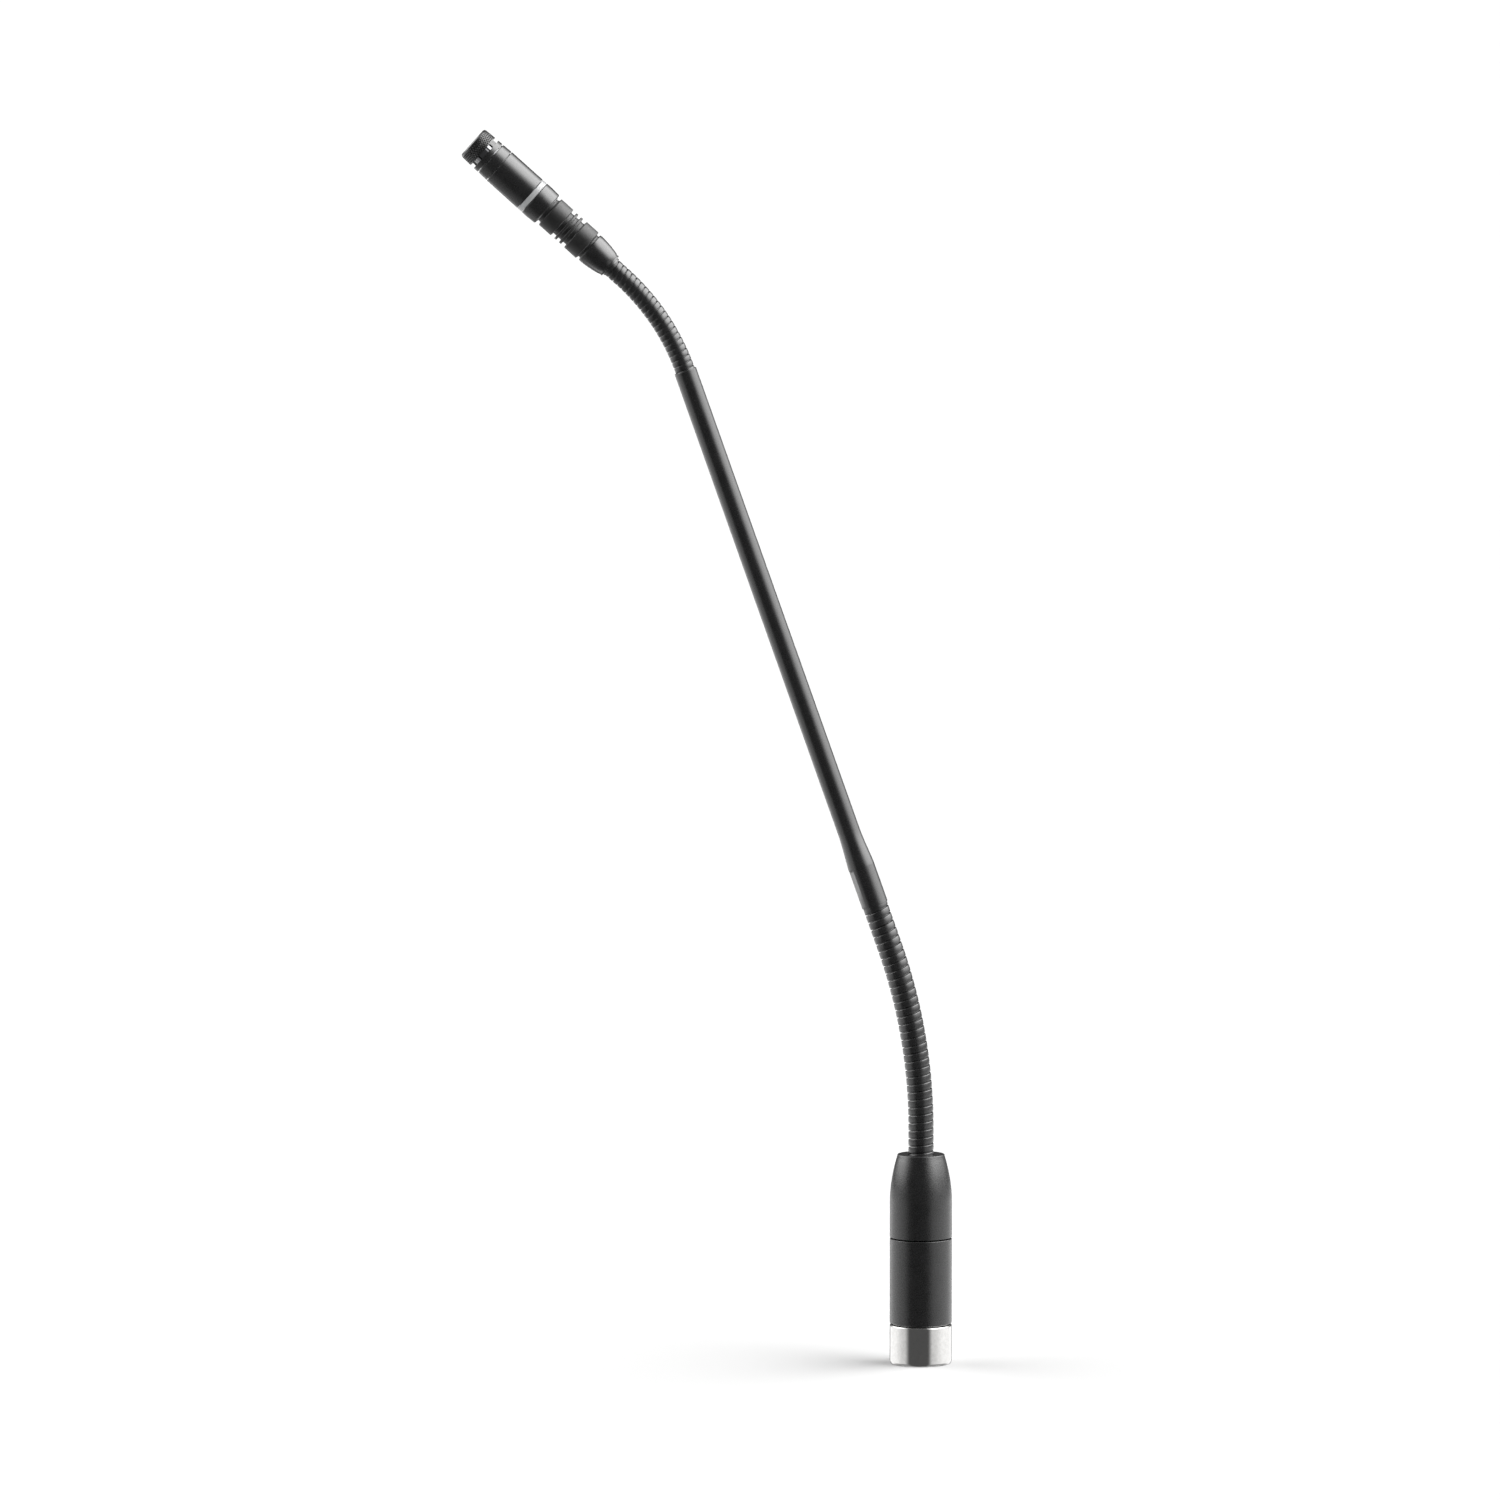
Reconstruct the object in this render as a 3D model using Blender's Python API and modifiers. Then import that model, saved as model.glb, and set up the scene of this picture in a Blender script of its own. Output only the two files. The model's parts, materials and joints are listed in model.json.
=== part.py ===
"""Gooseneck podium microphone: plug base, lower gooseneck, rigid tube, upper gooseneck, slim head.

Frame: metres, +Z up. The origin is the centre of the plug insert's contact face, on the base's axis.
The base stands along +Z and the neck leans towards -X, in the XZ plane.
"""

import math
from collections import namedtuple

import bmesh
import bpy
from mathutils import Matrix, Vector

MM = 0.001  # every dimension below is in millimetres

# ---------------------------------------------------------------- driving dimensions
# base, in heights above the rim, which is the plug's open end
INSERT_FACE_H = 12.5
RIM_Z = -INSERT_FACE_H
BASE_R = 9.5
SHELL_BAND_H = 12.0  # top of the bright band
JOINT_LINE_H = 38.8  # where the lower housing meets the upper one
JOINT_HALF_GAP = 0.2
NOSE_START_H = 50.6
NOSE_TOP_H = 64.6
NOSE_TOP_R = 7.25

# goosenecks and tube
LINK_BORE_R = 1.5
LINK_END_SLOPE = math.tan(math.radians(9.9))  # conical link ends leave room for each hinge's swing
LINK_GAP = 0.04  # clearance from each link end to its hinge
TUBE_L = 173.4
TUBE_R = 3.45
TUBE_FLARE_R = 4.1
TUBE_BORE_R = 2.95
CABLE_R = 1.15

# the neck's centreline from the top of the housing: (length, lean gained in degrees)
LOWER_PATH = [(7.7, 0.0), (57.4, 19.5), (13.6, 0.0)]
UPPER_PATH = [(34.7, 28.5), (5.0, 0.0)]
HEAD_PATH = [(56.0, 0.0)]
NECK_PATH = LOWER_PATH + [(TUBE_L, 0.0)] + UPPER_PATH + HEAD_PATH

# distances up the neck
LOWER_L = sum(length for length, _ in LOWER_PATH)
UPPER_L = sum(length for length, _ in UPPER_PATH)
TUBE_S = LOWER_L
UPPER_S = TUBE_S + TUBE_L
HEAD_S = UPPER_S + UPPER_L

Flex = namedtuple("Flex", "name start length hinges radius")
LOWER_FLEX = Flex("lower_flex", start=0.0, length=LOWER_L, hinges=12, radius=3.7)
UPPER_FLEX = Flex("upper_flex", start=UPPER_S, length=UPPER_L, hinges=8, radius=2.95)

# stations along the head's axis, forwards from the rear end of the cone ferrule
CONE_L = 8.55
ISOLATOR_REAR_S, ISOLATOR_FRONT_S = 9.15, 25.05
BARREL_S = 25.6
RING_REAR_S, RING_FRONT_S = 31.0, 32.75
RING_GAP = 0.05  # between the light ring and each barrel's nominal end
HEAD_JOINT_S = 45.35  # seam between the barrel and the unscrewing capsule section
CAP_S = 48.95  # rear edge of the slotted front cap
SLOT_REAR_S, SLOT_FRONT_S = 50.65, 51.95  # slot round the front cap, open but for its posts
FACE_S = 56.2
HEAD_R = 5.8
BOSS_R = 2.0  # bosses at both ends of the isolator
BOSS_BORE_R = 1.2

# sides of the turned pieces
BASE_SIDES = 32
HEAD_SIDES = 28
NECK_SIDES = 24
INNER_SIDES = 20
SMALL_SIDES = 16
PIN_SIDES = 12

# material: (base colour, roughness, metallic)
FINISHES = {
    "shell_metal": ((0.78, 0.78, 0.79), 0.22, 1.0),
    "black_housing": ((0.012, 0.012, 0.013), 0.55, 0.0),
    "black_metal": ((0.018, 0.018, 0.019), 0.38, 0.6),
    "black_flex": ((0.010, 0.010, 0.011), 0.45, 0.3),
    "black_rubber": ((0.014, 0.014, 0.014), 0.78, 0.0),
    "black_mesh": ((0.012, 0.012, 0.012), 0.6, 0.5),
    "light_plastic": ((0.55, 0.56, 0.57), 0.35, 0.0),
    "brass": ((0.72, 0.53, 0.22), 0.3, 1.0),
    "gold": ((0.85, 0.62, 0.22), 0.22, 1.0),
    "steel": ((0.55, 0.55, 0.56), 0.3, 1.0),
    "insulator": ((0.03, 0.03, 0.032), 0.5, 0.0),
    "board": ((0.02, 0.14, 0.06), 0.5, 0.0),
    "chip": ((0.015, 0.015, 0.015), 0.45, 0.0),
    "can": ((0.62, 0.63, 0.65), 0.25, 1.0),
    "cable": ((0.02, 0.02, 0.02), 0.6, 0.0),
    "seal": ((0.02, 0.02, 0.02), 0.7, 0.0),
    "diode": ((0.85, 0.87, 0.8), 0.2, 0.0),
}


# ---------------------------------------------------------------- scene
def clear_scene():
    for obj in list(bpy.data.objects):
        bpy.data.objects.remove(obj, do_unlink=True)


def new_collection(name, hidden=False):
    made = bpy.data.collections.new(name)
    bpy.context.scene.collection.children.link(made)
    made.hide_render = hidden
    return made


clear_scene()
PARTS = new_collection("gooseneck_podium_microphone")
CUTTERS = new_collection("cutters", hidden=True)


def material(finish):
    name = "mat_" + finish
    made = bpy.data.materials.get(name)
    if made:
        return made
    colour, roughness, metallic = FINISHES[finish]
    made = bpy.data.materials.new(name)
    made.use_nodes = True
    made.diffuse_color = (*colour, 1.0)
    shader = made.node_tree.nodes["Principled BSDF"]
    shader.inputs["Base Color"].default_value = (*colour, 1.0)
    shader.inputs["Roughness"].default_value = roughness
    shader.inputs["Metallic"].default_value = metallic
    return made


# ---------------------------------------------------------------- frames
def shift(x=0.0, y=0.0, z=0.0):
    """Translation by millimetres."""
    return Matrix.Translation(Vector((x, y, z)) * MM)


def turn(degrees, axis):
    return Matrix.Rotation(math.radians(degrees), 4, axis)


def polar(radius, degrees, z):
    """Translation to a place on a circle round local Z, without turning the frame."""
    angle = math.radians(degrees)
    return shift(radius * math.cos(angle), radius * math.sin(angle), z)


def walk(s):
    """(x, z, lean in radians) at distance s along the neck's straight and arc pieces."""
    x, z, lean = 0.0, RIM_Z + NOSE_TOP_H, 0.0
    for length, gained in NECK_PATH:
        step = min(s, length)
        swing = math.radians(gained) * step / length
        if abs(swing) < 1e-9:
            x -= math.sin(lean) * step
            z += math.cos(lean) * step
        else:
            radius = step / swing
            x += radius * (math.cos(lean + swing) - math.cos(lean))
            z += radius * (math.sin(lean + swing) - math.sin(lean))
            lean += swing
        s -= length
        if s <= 0:
            break
    return x, z, lean


def place(s):
    """Frame at distance s up the neck: local Z along the neck, local Y along world Y."""
    x, z, lean = walk(s)
    return shift(x=x, z=z) @ Matrix.Rotation(-lean, 4, "Y")


def chord(low_s, high_s):
    """Frame at low_s whose local Z points at high_s, and the distance between them."""
    low = place(low_s).translation
    high = place(high_s).translation
    lean = math.atan2(low.x - high.x, high.z - low.z)
    frame = Matrix.Translation(low) @ Matrix.Rotation(-lean, 4, "Y")
    return frame, (high - low).length / MM


RIM = shift(z=RIM_Z)
TUBE_FOOT = place(TUBE_S)
HEAD = place(HEAD_S)  # rear end of the cone ferrule, local Z forwards


# ---------------------------------------------------------------- building blocks
Pivot = namedtuple("Pivot", "empty world")


def add_object(name, data, frame, pivot=None, home=PARTS):
    """Places an object by its world frame, under its body's pivot if it has one."""
    obj = bpy.data.objects.new(name, data)
    home.objects.link(obj)
    if pivot is None:
        obj.matrix_basis = frame
    else:
        obj.parent = pivot.empty
        obj.matrix_parent_inverse = Matrix.Identity(4)
        obj.matrix_basis = pivot.world.inverted() @ frame
    return obj


def add_pivot(name, frame, parent=None):
    empty = add_object(name, None, frame, parent)
    empty.empty_display_size = 0.004
    return Pivot(empty, frame)


def add_mesh(name, finish, mesh, frame, pivot=None, home=PARTS):
    mesh.materials.append(material(finish))
    mesh.shade_smooth()
    mesh.set_sharp_from_angle(angle=math.radians(32.0))
    return add_object(name, mesh, frame, pivot, home)


def block_mesh(name, size):
    mesh = bpy.data.meshes.new(name)
    work = bmesh.new()
    bmesh.ops.create_cube(work, size=1.0)
    bmesh.ops.scale(work, vec=Vector(size) * MM, verts=work.verts)
    work.to_mesh(mesh)
    work.free()
    return mesh


def cylinder_mesh(name, radius, length, sides):
    """Cylinder along +Z from the origin, with one flat face at each end."""
    mesh = bpy.data.meshes.new(name)
    work = bmesh.new()
    bmesh.ops.create_cone(work, cap_ends=True, segments=sides, radius1=radius * MM,
                          radius2=radius * MM, depth=length * MM)
    bmesh.ops.translate(work, vec=Vector((0, 0, length / 2)) * MM, verts=work.verts)
    work.to_mesh(mesh)
    work.free()
    return mesh


def box(name, finish, size, centre, frame, pivot):
    add_mesh(name, finish, block_mesh(name, size), frame @ shift(*centre), pivot)


def turned(name, finish, profile, frame, pivot, sides, closed=True):
    """A turned piece. The profile is (radius, height), down its outer side and up its bore.

    A solid piece starts and ends on the axis and has no bore, so its profile isn't closed."""
    mesh = bpy.data.meshes.new(name)
    points = [(radius * MM, 0.0, z * MM) for radius, z in profile]
    edges = [(i, i + 1) for i in range(len(points) - 1)]
    if closed:
        edges.append((len(points) - 1, 0))
    mesh.from_pydata(points, edges, [])
    obj = add_mesh(name, finish, mesh, frame, pivot)
    screw = obj.modifiers.new("turn", "SCREW")
    screw.axis = "Z"
    screw.angle = 2 * math.pi
    screw.steps = screw.render_steps = sides
    screw.use_merge_vertices = True
    screw.merge_threshold = 1e-6
    screw.use_smooth_shade = True
    return obj


def rod(name, finish, radius, length, frame, pivot, sides):
    """A solid round bar from the frame's origin along its local Z."""
    profile = [(0, length), (radius, length), (radius, 0), (0, 0)]
    turned(name, finish, profile, frame, pivot, sides, closed=False)


def coil(name, finish, radius, wire_r, length, turns, per_turn, frame, pivot):
    """A compression spring along local Z, as a poly curve with per_turn points to a turn."""
    curve = bpy.data.curves.new(name, "CURVE")
    curve.dimensions = "3D"
    curve.bevel_depth = wire_r * MM
    curve.bevel_resolution = 1
    curve.use_fill_caps = True
    steps = turns * per_turn
    spline = curve.splines.new("POLY")
    spline.points.add(steps)
    for i, point in enumerate(spline.points):
        spot = polar(radius, 360.0 * i / per_turn, length * i / steps).translation
        point.co = (*spot, 1.0)
    curve.materials.append(material(finish))
    add_object(name, curve, frame, pivot)


def cut(obj, name, mesh, frame):
    """Cuts a hidden mesh out of an object."""
    cutter = add_mesh(name, "steel", mesh, frame, home=CUTTERS)
    cutter.hide_render = True
    cutter.display_type = "WIRE"
    hole = obj.modifiers.new("cut_" + name, "BOOLEAN")
    hole.operation = "DIFFERENCE"
    hole.solver = "EXACT"
    hole.object = cutter


def cut_round(obj, name, radius, length, frame, sides):
    cut(obj, name, cylinder_mesh(name, radius, length, sides), frame)


# ---------------------------------------------------------------- base: plug
SPIGOT_TOP_H = 22.0
SPIGOT_R = 8.15
SHELL_BORE_R = 7.9
INSERT_R = 7.2
INSERT_TOP_H = 19.5
CONTACTS = 5
CONTACT_CIRCLE_R = 4.55
CONTACT_HOLE_R = 1.35
CONTACT_CUT_H, CONTACT_CUT_L = 10.0, 12.0
# (radius, height)
CONTACT_PROFILE = [(0, 23.0), (0.7, 23.0), (0.7, 19.2), (1.15, 19.2), (1.15, 2.9), (0.6, 2.2), (0, 2.2)]


def build_shell(base):
    """Visible band, then a thinner spigot that the lower housing slides over."""
    turned("plug_shell", "shell_metal", [
        (SHELL_BORE_R, SPIGOT_TOP_H), (SPIGOT_R, SPIGOT_TOP_H), (SPIGOT_R, SHELL_BAND_H),
        (BASE_R - 0.35, SHELL_BAND_H), (BASE_R, SHELL_BAND_H - 0.35),
        (BASE_R, 0.45), (BASE_R - 0.45, 0.0), (8.3, 0.0), (SHELL_BORE_R, 0.4),
    ], RIM, base, BASE_SIDES)


def build_insert(base):
    """Insulating insert, drilled for the contacts."""
    insert = turned("plug_insert", "insulator", [
        (0, INSERT_TOP_H), (INSERT_R, INSERT_TOP_H), (INSERT_R, 17.0), (7.6, 17.0),
        (7.6, INSERT_FACE_H + 0.4), (INSERT_R, INSERT_FACE_H), (0, INSERT_FACE_H),
    ], RIM, base, BASE_SIDES, closed=False)
    for i in range(CONTACTS):
        frame = RIM @ polar(CONTACT_CIRCLE_R, 90 + 360 / CONTACTS * i, 0.0)
        cut_round(insert, f"cut_contact_{i + 1}", CONTACT_HOLE_R, CONTACT_CUT_L,
                  frame @ shift(z=CONTACT_CUT_H), PIN_SIDES)
        turned(f"contact_pin_{i + 1}", "gold", CONTACT_PROFILE, frame, base, PIN_SIDES, closed=False)


# ---------------------------------------------------------------- base: housings and anchor
FOOT_H = SHELL_BAND_H + 0.3
LOWER_BORE_R = 8.4
UPPER_BORE_R = 8.3
ANCHOR_SEAT_R = 5.9  # bore round the anchor
NECK_HOLE_R = 4.1
NECK_HOLE_H = 61.6
NOSE_STEPS = 6
NOSE_POWER = 1.8
ANCHOR_R = 5.5
ANCHOR_FOOT_H, ANCHOR_TOP_H = 51.0, 61.3
SET_SCREW_H = 57.0
SET_SCREW_HOLE_R = 1.6
# (radius, distance from the base's axis)
SET_SCREW_PROFILE = [
    (0, 7.3), (0.65, 7.3), (0.65, 8.6), (1.4, 8.6), (1.4, 5.9), (1.1, 5.6), (0, 5.6),
]


def build_lower_housing(base):
    """A plain tube with a rounded foot."""
    top = JOINT_LINE_H - JOINT_HALF_GAP
    turned("lower_housing", "black_housing", [
        (LOWER_BORE_R, top), (BASE_R - 0.2, top), (BASE_R, top - 0.2), (BASE_R, FOOT_H + 0.6),
        (BASE_R - 0.15, FOOT_H + 0.15), (BASE_R - 0.5, FOOT_H), (LOWER_BORE_R, FOOT_H),
    ], RIM, base, BASE_SIDES)


def build_upper_housing(base):
    """Straight, then an ogive nose with a flat top where the neck comes out."""
    foot = JOINT_LINE_H + JOINT_HALF_GAP
    nose_l = NOSE_TOP_H - 0.3 - NOSE_START_H
    shares = [i / NOSE_STEPS for i in range(NOSE_STEPS, -1, -1)]
    nose = [(BASE_R - (BASE_R - NOSE_TOP_R) * share**NOSE_POWER, NOSE_START_H + nose_l * share)
            for share in shares]
    return turned("upper_housing", "black_housing", [
        (NECK_HOLE_R, NOSE_TOP_H), (NOSE_TOP_R - 0.3, NOSE_TOP_H), *nose,
        (BASE_R, foot + 0.2), (BASE_R - 0.2, foot), (UPPER_BORE_R, foot), (UPPER_BORE_R, 49.0),
        (ANCHOR_SEAT_R, 49.6), (ANCHOR_SEAT_R, NECK_HOLE_H), (NECK_HOLE_R, NECK_HOLE_H),
    ], RIM, base, BASE_SIDES)


def build_anchor(base):
    """Bush that grips the lower gooseneck's end, its spigot reaching to the first bend."""
    bend = NOSE_TOP_H + half_pitch(LOWER_FLEX)
    radius = LOWER_FLEX.radius
    turned("neck_anchor", "brass", [
        (LINK_BORE_R, bend - setback(LINK_BORE_R)), (radius, bend - setback(radius)),
        (radius, ANCHOR_TOP_H), (ANCHOR_R, ANCHOR_TOP_H), (ANCHOR_R, 52.5),
        (3.0, ANCHOR_FOOT_H), (LINK_BORE_R, ANCHOR_FOOT_H),
    ], RIM, base, NECK_SIDES)


def build_set_screw(base, housing):
    """Screw along +Y through the upper housing's wall."""
    frame = RIM @ shift(z=SET_SCREW_H) @ turn(-90, "X")
    cut_round(housing, "cut_set_screw", SET_SCREW_HOLE_R, 8.0, frame @ shift(z=4.0), SMALL_SIDES)
    turned("anchor_set_screw", "steel", SET_SCREW_PROFILE, frame, base, PIN_SIDES, closed=False)


# ---------------------------------------------------------------- base: electronics
CAPACITOR_X = 2.9  # to each side of the axis
CAPACITOR_R = 2.0
CAPACITOR_L = 4.6
CAPACITOR_CHAMFER = 0.25


def build_capacitors(base):
    """Two cans on the board's +Y side."""
    inner_r = CAPACITOR_R - CAPACITOR_CHAMFER
    profile = [
        (0, CAPACITOR_L), (inner_r, CAPACITOR_L), (CAPACITOR_R, CAPACITOR_L - CAPACITOR_CHAMFER),
        (CAPACITOR_R, CAPACITOR_CHAMFER), (inner_r, 0), (0, 0),
    ]
    for i, x in enumerate((-CAPACITOR_X, CAPACITOR_X)):
        frame = RIM @ shift(x, -0.8, 29.5) @ turn(-90, "X")
        turned(f"board_capacitor_{i + 1}", "can", profile, frame, base, sides=14, closed=False)


def build_base_electronics(base):
    """Upright board with its parts, and the signal cable into the anchor."""
    box("preamp_board", "board", size=(13.0, 1.0, 24.0), centre=(0.0, -1.5, 36.5),
        frame=RIM, pivot=base)
    box("board_chip", "chip", size=(5.0, 1.3, 4.0), centre=(0.8, -2.9, 37.0),
        frame=RIM, pivot=base)
    build_capacitors(base)
    # earthing spring between the board and the housing wall, towards -Y
    coil("ground_spring", "steel", radius=1.3, wire_r=0.2, length=5.6, turns=4, per_turn=10,
         frame=RIM @ shift(y=-2.3, z=44.5) @ turn(90, "X"), pivot=base)
    rod("base_cable", "cable", CABLE_R, length=13.5, frame=RIM @ shift(z=49.0), pivot=base,
        sides=PIN_SIDES)


def build_base():
    base = add_pivot("pivot_base", RIM)
    build_shell(base)
    build_insert(base)
    build_lower_housing(base)
    housing = build_upper_housing(base)
    build_anchor(base)
    build_set_screw(base, housing)
    build_base_electronics(base)
    return base


# ---------------------------------------------------------------- gooseneck links
def half_pitch(flex):
    """Distance from either end of a gooseneck to its nearest hinge."""
    return flex.length / flex.hinges / 2


def setback(radius):
    """How far a conical link end stands back from its hinge at a radius."""
    return LINK_END_SLOPE * radius + LINK_GAP


def build_link(name, flex, low_s, high_s, pivot):
    frame, span = chord(low_s, high_s)
    outer, bore = setback(flex.radius), setback(LINK_BORE_R)
    turned(name, "black_flex", [
        (LINK_BORE_R, span - bore), (flex.radius, span - outer), (flex.radius, outer),
        (LINK_BORE_R, bore),
    ], frame, pivot, SMALL_SIDES)


def build_links(flex, parent):
    """A chain of hinges with a hollow link between neighbours. Returns the last hinge's pivot."""
    pitch = flex.length / flex.hinges
    for i in range(flex.hinges):
        hinge_s = flex.start + (i + 0.5) * pitch
        parent = add_pivot(f"pivot_{flex.name}_{i + 1:02d}", place(hinge_s), parent)
        if i < flex.hinges - 1:
            build_link(f"{flex.name}_{i + 1:02d}", flex, hinge_s, hinge_s + pitch, parent)
    return parent


# ---------------------------------------------------------------- rigid tube
FLARE_START, FLARE_L = 13.7, 4.9  # the outside narrows over this length
FLARE_STEPS = 4
FOOT_BORE_R = 3.7
LOWER_SLEEVE_R, LOWER_SLEEVE_TOP = 3.4, 12.5
UPPER_SLEEVE_R, UPPER_SLEEVE_FOOT = 2.7, -11.0  # foot measured from the tube's top
SLEEVE_STEP = 0.4  # from the tube's end to the sleeve's shoulder
CABLE_INSET = 2.0


def build_tube_shell(pivot):
    flare = []
    for i in range(FLARE_STEPS, -1, -1):
        share = i / FLARE_STEPS
        ease = 0.5 - 0.5 * math.cos(math.pi * share)
        radius = TUBE_FLARE_R - (TUBE_FLARE_R - TUBE_R) * ease
        flare.append((radius, FLARE_START + FLARE_L * share))
    turned("neck_tube", "black_metal", [
        (TUBE_BORE_R, TUBE_L), (TUBE_R - 0.15, TUBE_L), (TUBE_R, TUBE_L - 0.15), *flare,
        (TUBE_FLARE_R, 0.2), (TUBE_FLARE_R - 0.2, 0.0), (FOOT_BORE_R, 0.0), (FOOT_BORE_R, 14.0),
        (TUBE_BORE_R, 17.5),
    ], TUBE_FOOT, pivot, NECK_SIDES)


def build_sleeves(pivot):
    """Sleeves inside the tube's ends that reach out to the nearest hinges."""
    radius, hinge = LOWER_FLEX.radius, -half_pitch(LOWER_FLEX)
    turned("lower_sleeve", "brass", [
        (LINK_BORE_R, LOWER_SLEEVE_TOP), (LOWER_SLEEVE_R, LOWER_SLEEVE_TOP),
        (LOWER_SLEEVE_R, -SLEEVE_STEP), (radius, -SLEEVE_STEP), (radius, hinge + setback(radius)),
        (LINK_BORE_R, hinge + setback(LINK_BORE_R)),
    ], TUBE_FOOT, pivot, INNER_SIDES)
    radius, hinge = UPPER_FLEX.radius, half_pitch(UPPER_FLEX)
    turned("upper_sleeve", "brass", [
        (LINK_BORE_R, hinge - setback(LINK_BORE_R)), (radius, hinge - setback(radius)),
        (radius, SLEEVE_STEP), (UPPER_SLEEVE_R, SLEEVE_STEP),
        (UPPER_SLEEVE_R, UPPER_SLEEVE_FOOT), (LINK_BORE_R, UPPER_SLEEVE_FOOT),
    ], place(UPPER_S), pivot, INNER_SIDES)


def build_tube(pivot):
    build_tube_shell(pivot)
    build_sleeves(pivot)
    rod("neck_cable", "cable", CABLE_R, TUBE_L - 2 * CABLE_INSET,
        TUBE_FOOT @ shift(z=CABLE_INSET), pivot, PIN_SIDES)


# ---------------------------------------------------------------- head: ferrule and isolator
CONE_REAR_R, CONE_FRONT_R = 3.75, 5.0
CONE_BORE_R = 3.15
CONE_HOLE_R = 2.2  # hole in the cone's front wall
CONE_WALL = 1.2
CONE_STEPS = 5
CONE_POWER = 0.85


def build_ferrule_bush(pivot):
    """Takes the end of the upper gooseneck and carries the isolator on its boss."""
    radius, hinge = UPPER_FLEX.radius, -half_pitch(UPPER_FLEX)
    boss_front, boss_rear = CONE_L + 4.4, CONE_L - 1.5
    turned("ferrule_bush", "brass", [
        (BOSS_BORE_R, boss_front), (BOSS_R, boss_front), (BOSS_R, boss_rear), (radius, boss_rear),
        (radius, hinge + setback(radius)), (LINK_BORE_R, hinge + setback(LINK_BORE_R)),
        (LINK_BORE_R, 3.0), (BOSS_BORE_R, 3.4),
    ], HEAD, pivot, INNER_SIDES)


def build_cone_ferrule(pivot):
    taper = []
    for i in range(CONE_STEPS - 1, 0, -1):
        share = i / CONE_STEPS
        rise = math.sin(share * math.pi / 2) ** CONE_POWER
        taper.append((CONE_REAR_R + (CONE_FRONT_R - CONE_REAR_R) * rise, CONE_L * share))
    turned("cone_ferrule", "black_metal", [
        (CONE_HOLE_R, CONE_L), (CONE_FRONT_R - 0.15, CONE_L), (CONE_FRONT_R, CONE_L - 0.2), *taper,
        (CONE_REAR_R, 0.15), (CONE_REAR_R - 0.15, 0.0), (CONE_BORE_R, 0.0),
        (CONE_BORE_R, CONE_L - CONE_WALL), (CONE_HOLE_R, CONE_L - CONE_WALL),
    ], HEAD, pivot, NECK_SIDES)


def build_isolator(pivot):
    """Rubber sleeve: end collars, two thick bands, and two fins between three grooves."""
    rear, front = ISOLATOR_REAR_S, ISOLATOR_FRONT_S
    bore, collar, groove, fin, edge, band = 2.55, 4.35, 4.1, 5.1, 4.95, 5.2
    turned("rubber_isolator", "black_rubber", [
        (collar, front), (collar, front - 0.45),
        (edge, front - 0.5), (band, front - 0.75), (band, front - 5.1), (edge, front - 5.4),
        (groove, front - 5.5), (groove, front - 6.7),
        (fin, front - 6.75), (fin, front - 7.5),
        (groove, front - 7.55), (groove, front - 8.55),
        (fin, front - 8.6), (fin, front - 9.45),
        (groove, front - 9.5), (groove, front - 10.7),
        (edge, front - 10.8), (band, front - 11.05), (band, rear + 0.5), (edge, rear + 0.25),
        (collar, rear + 0.2), (collar, rear), (bore, rear), (bore, front),
    ], HEAD, pivot, INNER_SIDES)


# ---------------------------------------------------------------- head: barrels and light ring
REAR_BARREL_BORE_R = 4.6
SPIGOT_HOLE_R = 2.3
SPIGOT_HEAD_R = 3.6
RING_BORE_R = 5.1
FRONT_BARREL_BORE_R = 4.95
CARRIER_BORE_R = 4.0
CARRIER_FRONT_R, CARRIER_REAR_R = 4.75, 4.45
LIGHT_BOARD_R, LIGHT_BOARD_BORE_R = 3.85, 1.5
DIODE_CIRCLE_R = 2.8
HEAD_BOARD_L = 9.0
HEAD_BOARD_Y = 0.6


def build_rear_barrel(pivot):
    front = RING_REAR_S - RING_GAP
    turned("rear_barrel", "black_metal", [
        (REAR_BARREL_BORE_R, front), (HEAD_R - 0.1, front), (HEAD_R, front - 0.15),
        (HEAD_R, BARREL_S + 3.2), (5.6, BARREL_S + 0.15), (5.45, BARREL_S),
        (SPIGOT_HOLE_R, BARREL_S), (SPIGOT_HOLE_R, BARREL_S + 1.4),
        (REAR_BARREL_BORE_R, BARREL_S + 1.8),
    ], HEAD, pivot, HEAD_SIDES)


def build_head_spigot(pivot):
    """Hollow spigot that the isolator grips."""
    front, rear = BARREL_S + 3.4, BARREL_S - 4.9
    turned("head_spigot", "brass", [
        (BOSS_BORE_R, front), (SPIGOT_HEAD_R, front), (SPIGOT_HEAD_R, BARREL_S + 2.2),
        (BOSS_R, BARREL_S + 1.9), (BOSS_R, rear), (BOSS_BORE_R, rear),
    ], HEAD, pivot, SMALL_SIDES)


def build_light_ring(pivot):
    rear, front = RING_REAR_S + RING_GAP, RING_FRONT_S - RING_GAP
    turned("light_ring", "light_plastic", [
        (RING_BORE_R, front), (HEAD_R - 0.08, front), (HEAD_R, front - 0.1),
        (HEAD_R, rear + 0.1), (HEAD_R - 0.08, rear), (RING_BORE_R, rear),
    ], HEAD, pivot, HEAD_SIDES)


def build_head_barrel(pivot):
    rear, front = RING_FRONT_S + RING_GAP, HEAD_JOINT_S - 0.1
    turned("head_barrel", "black_metal", [
        (5.2, front), (HEAD_R - 0.15, front), (HEAD_R, front - 0.15),
        (HEAD_R, rear + 0.15), (HEAD_R - 0.1, rear), (FRONT_BARREL_BORE_R, rear),
        (FRONT_BARREL_BORE_R, RING_FRONT_S + 5.5), (5.2, RING_FRONT_S + 5.7),
    ], HEAD, pivot, HEAD_SIDES)


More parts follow.
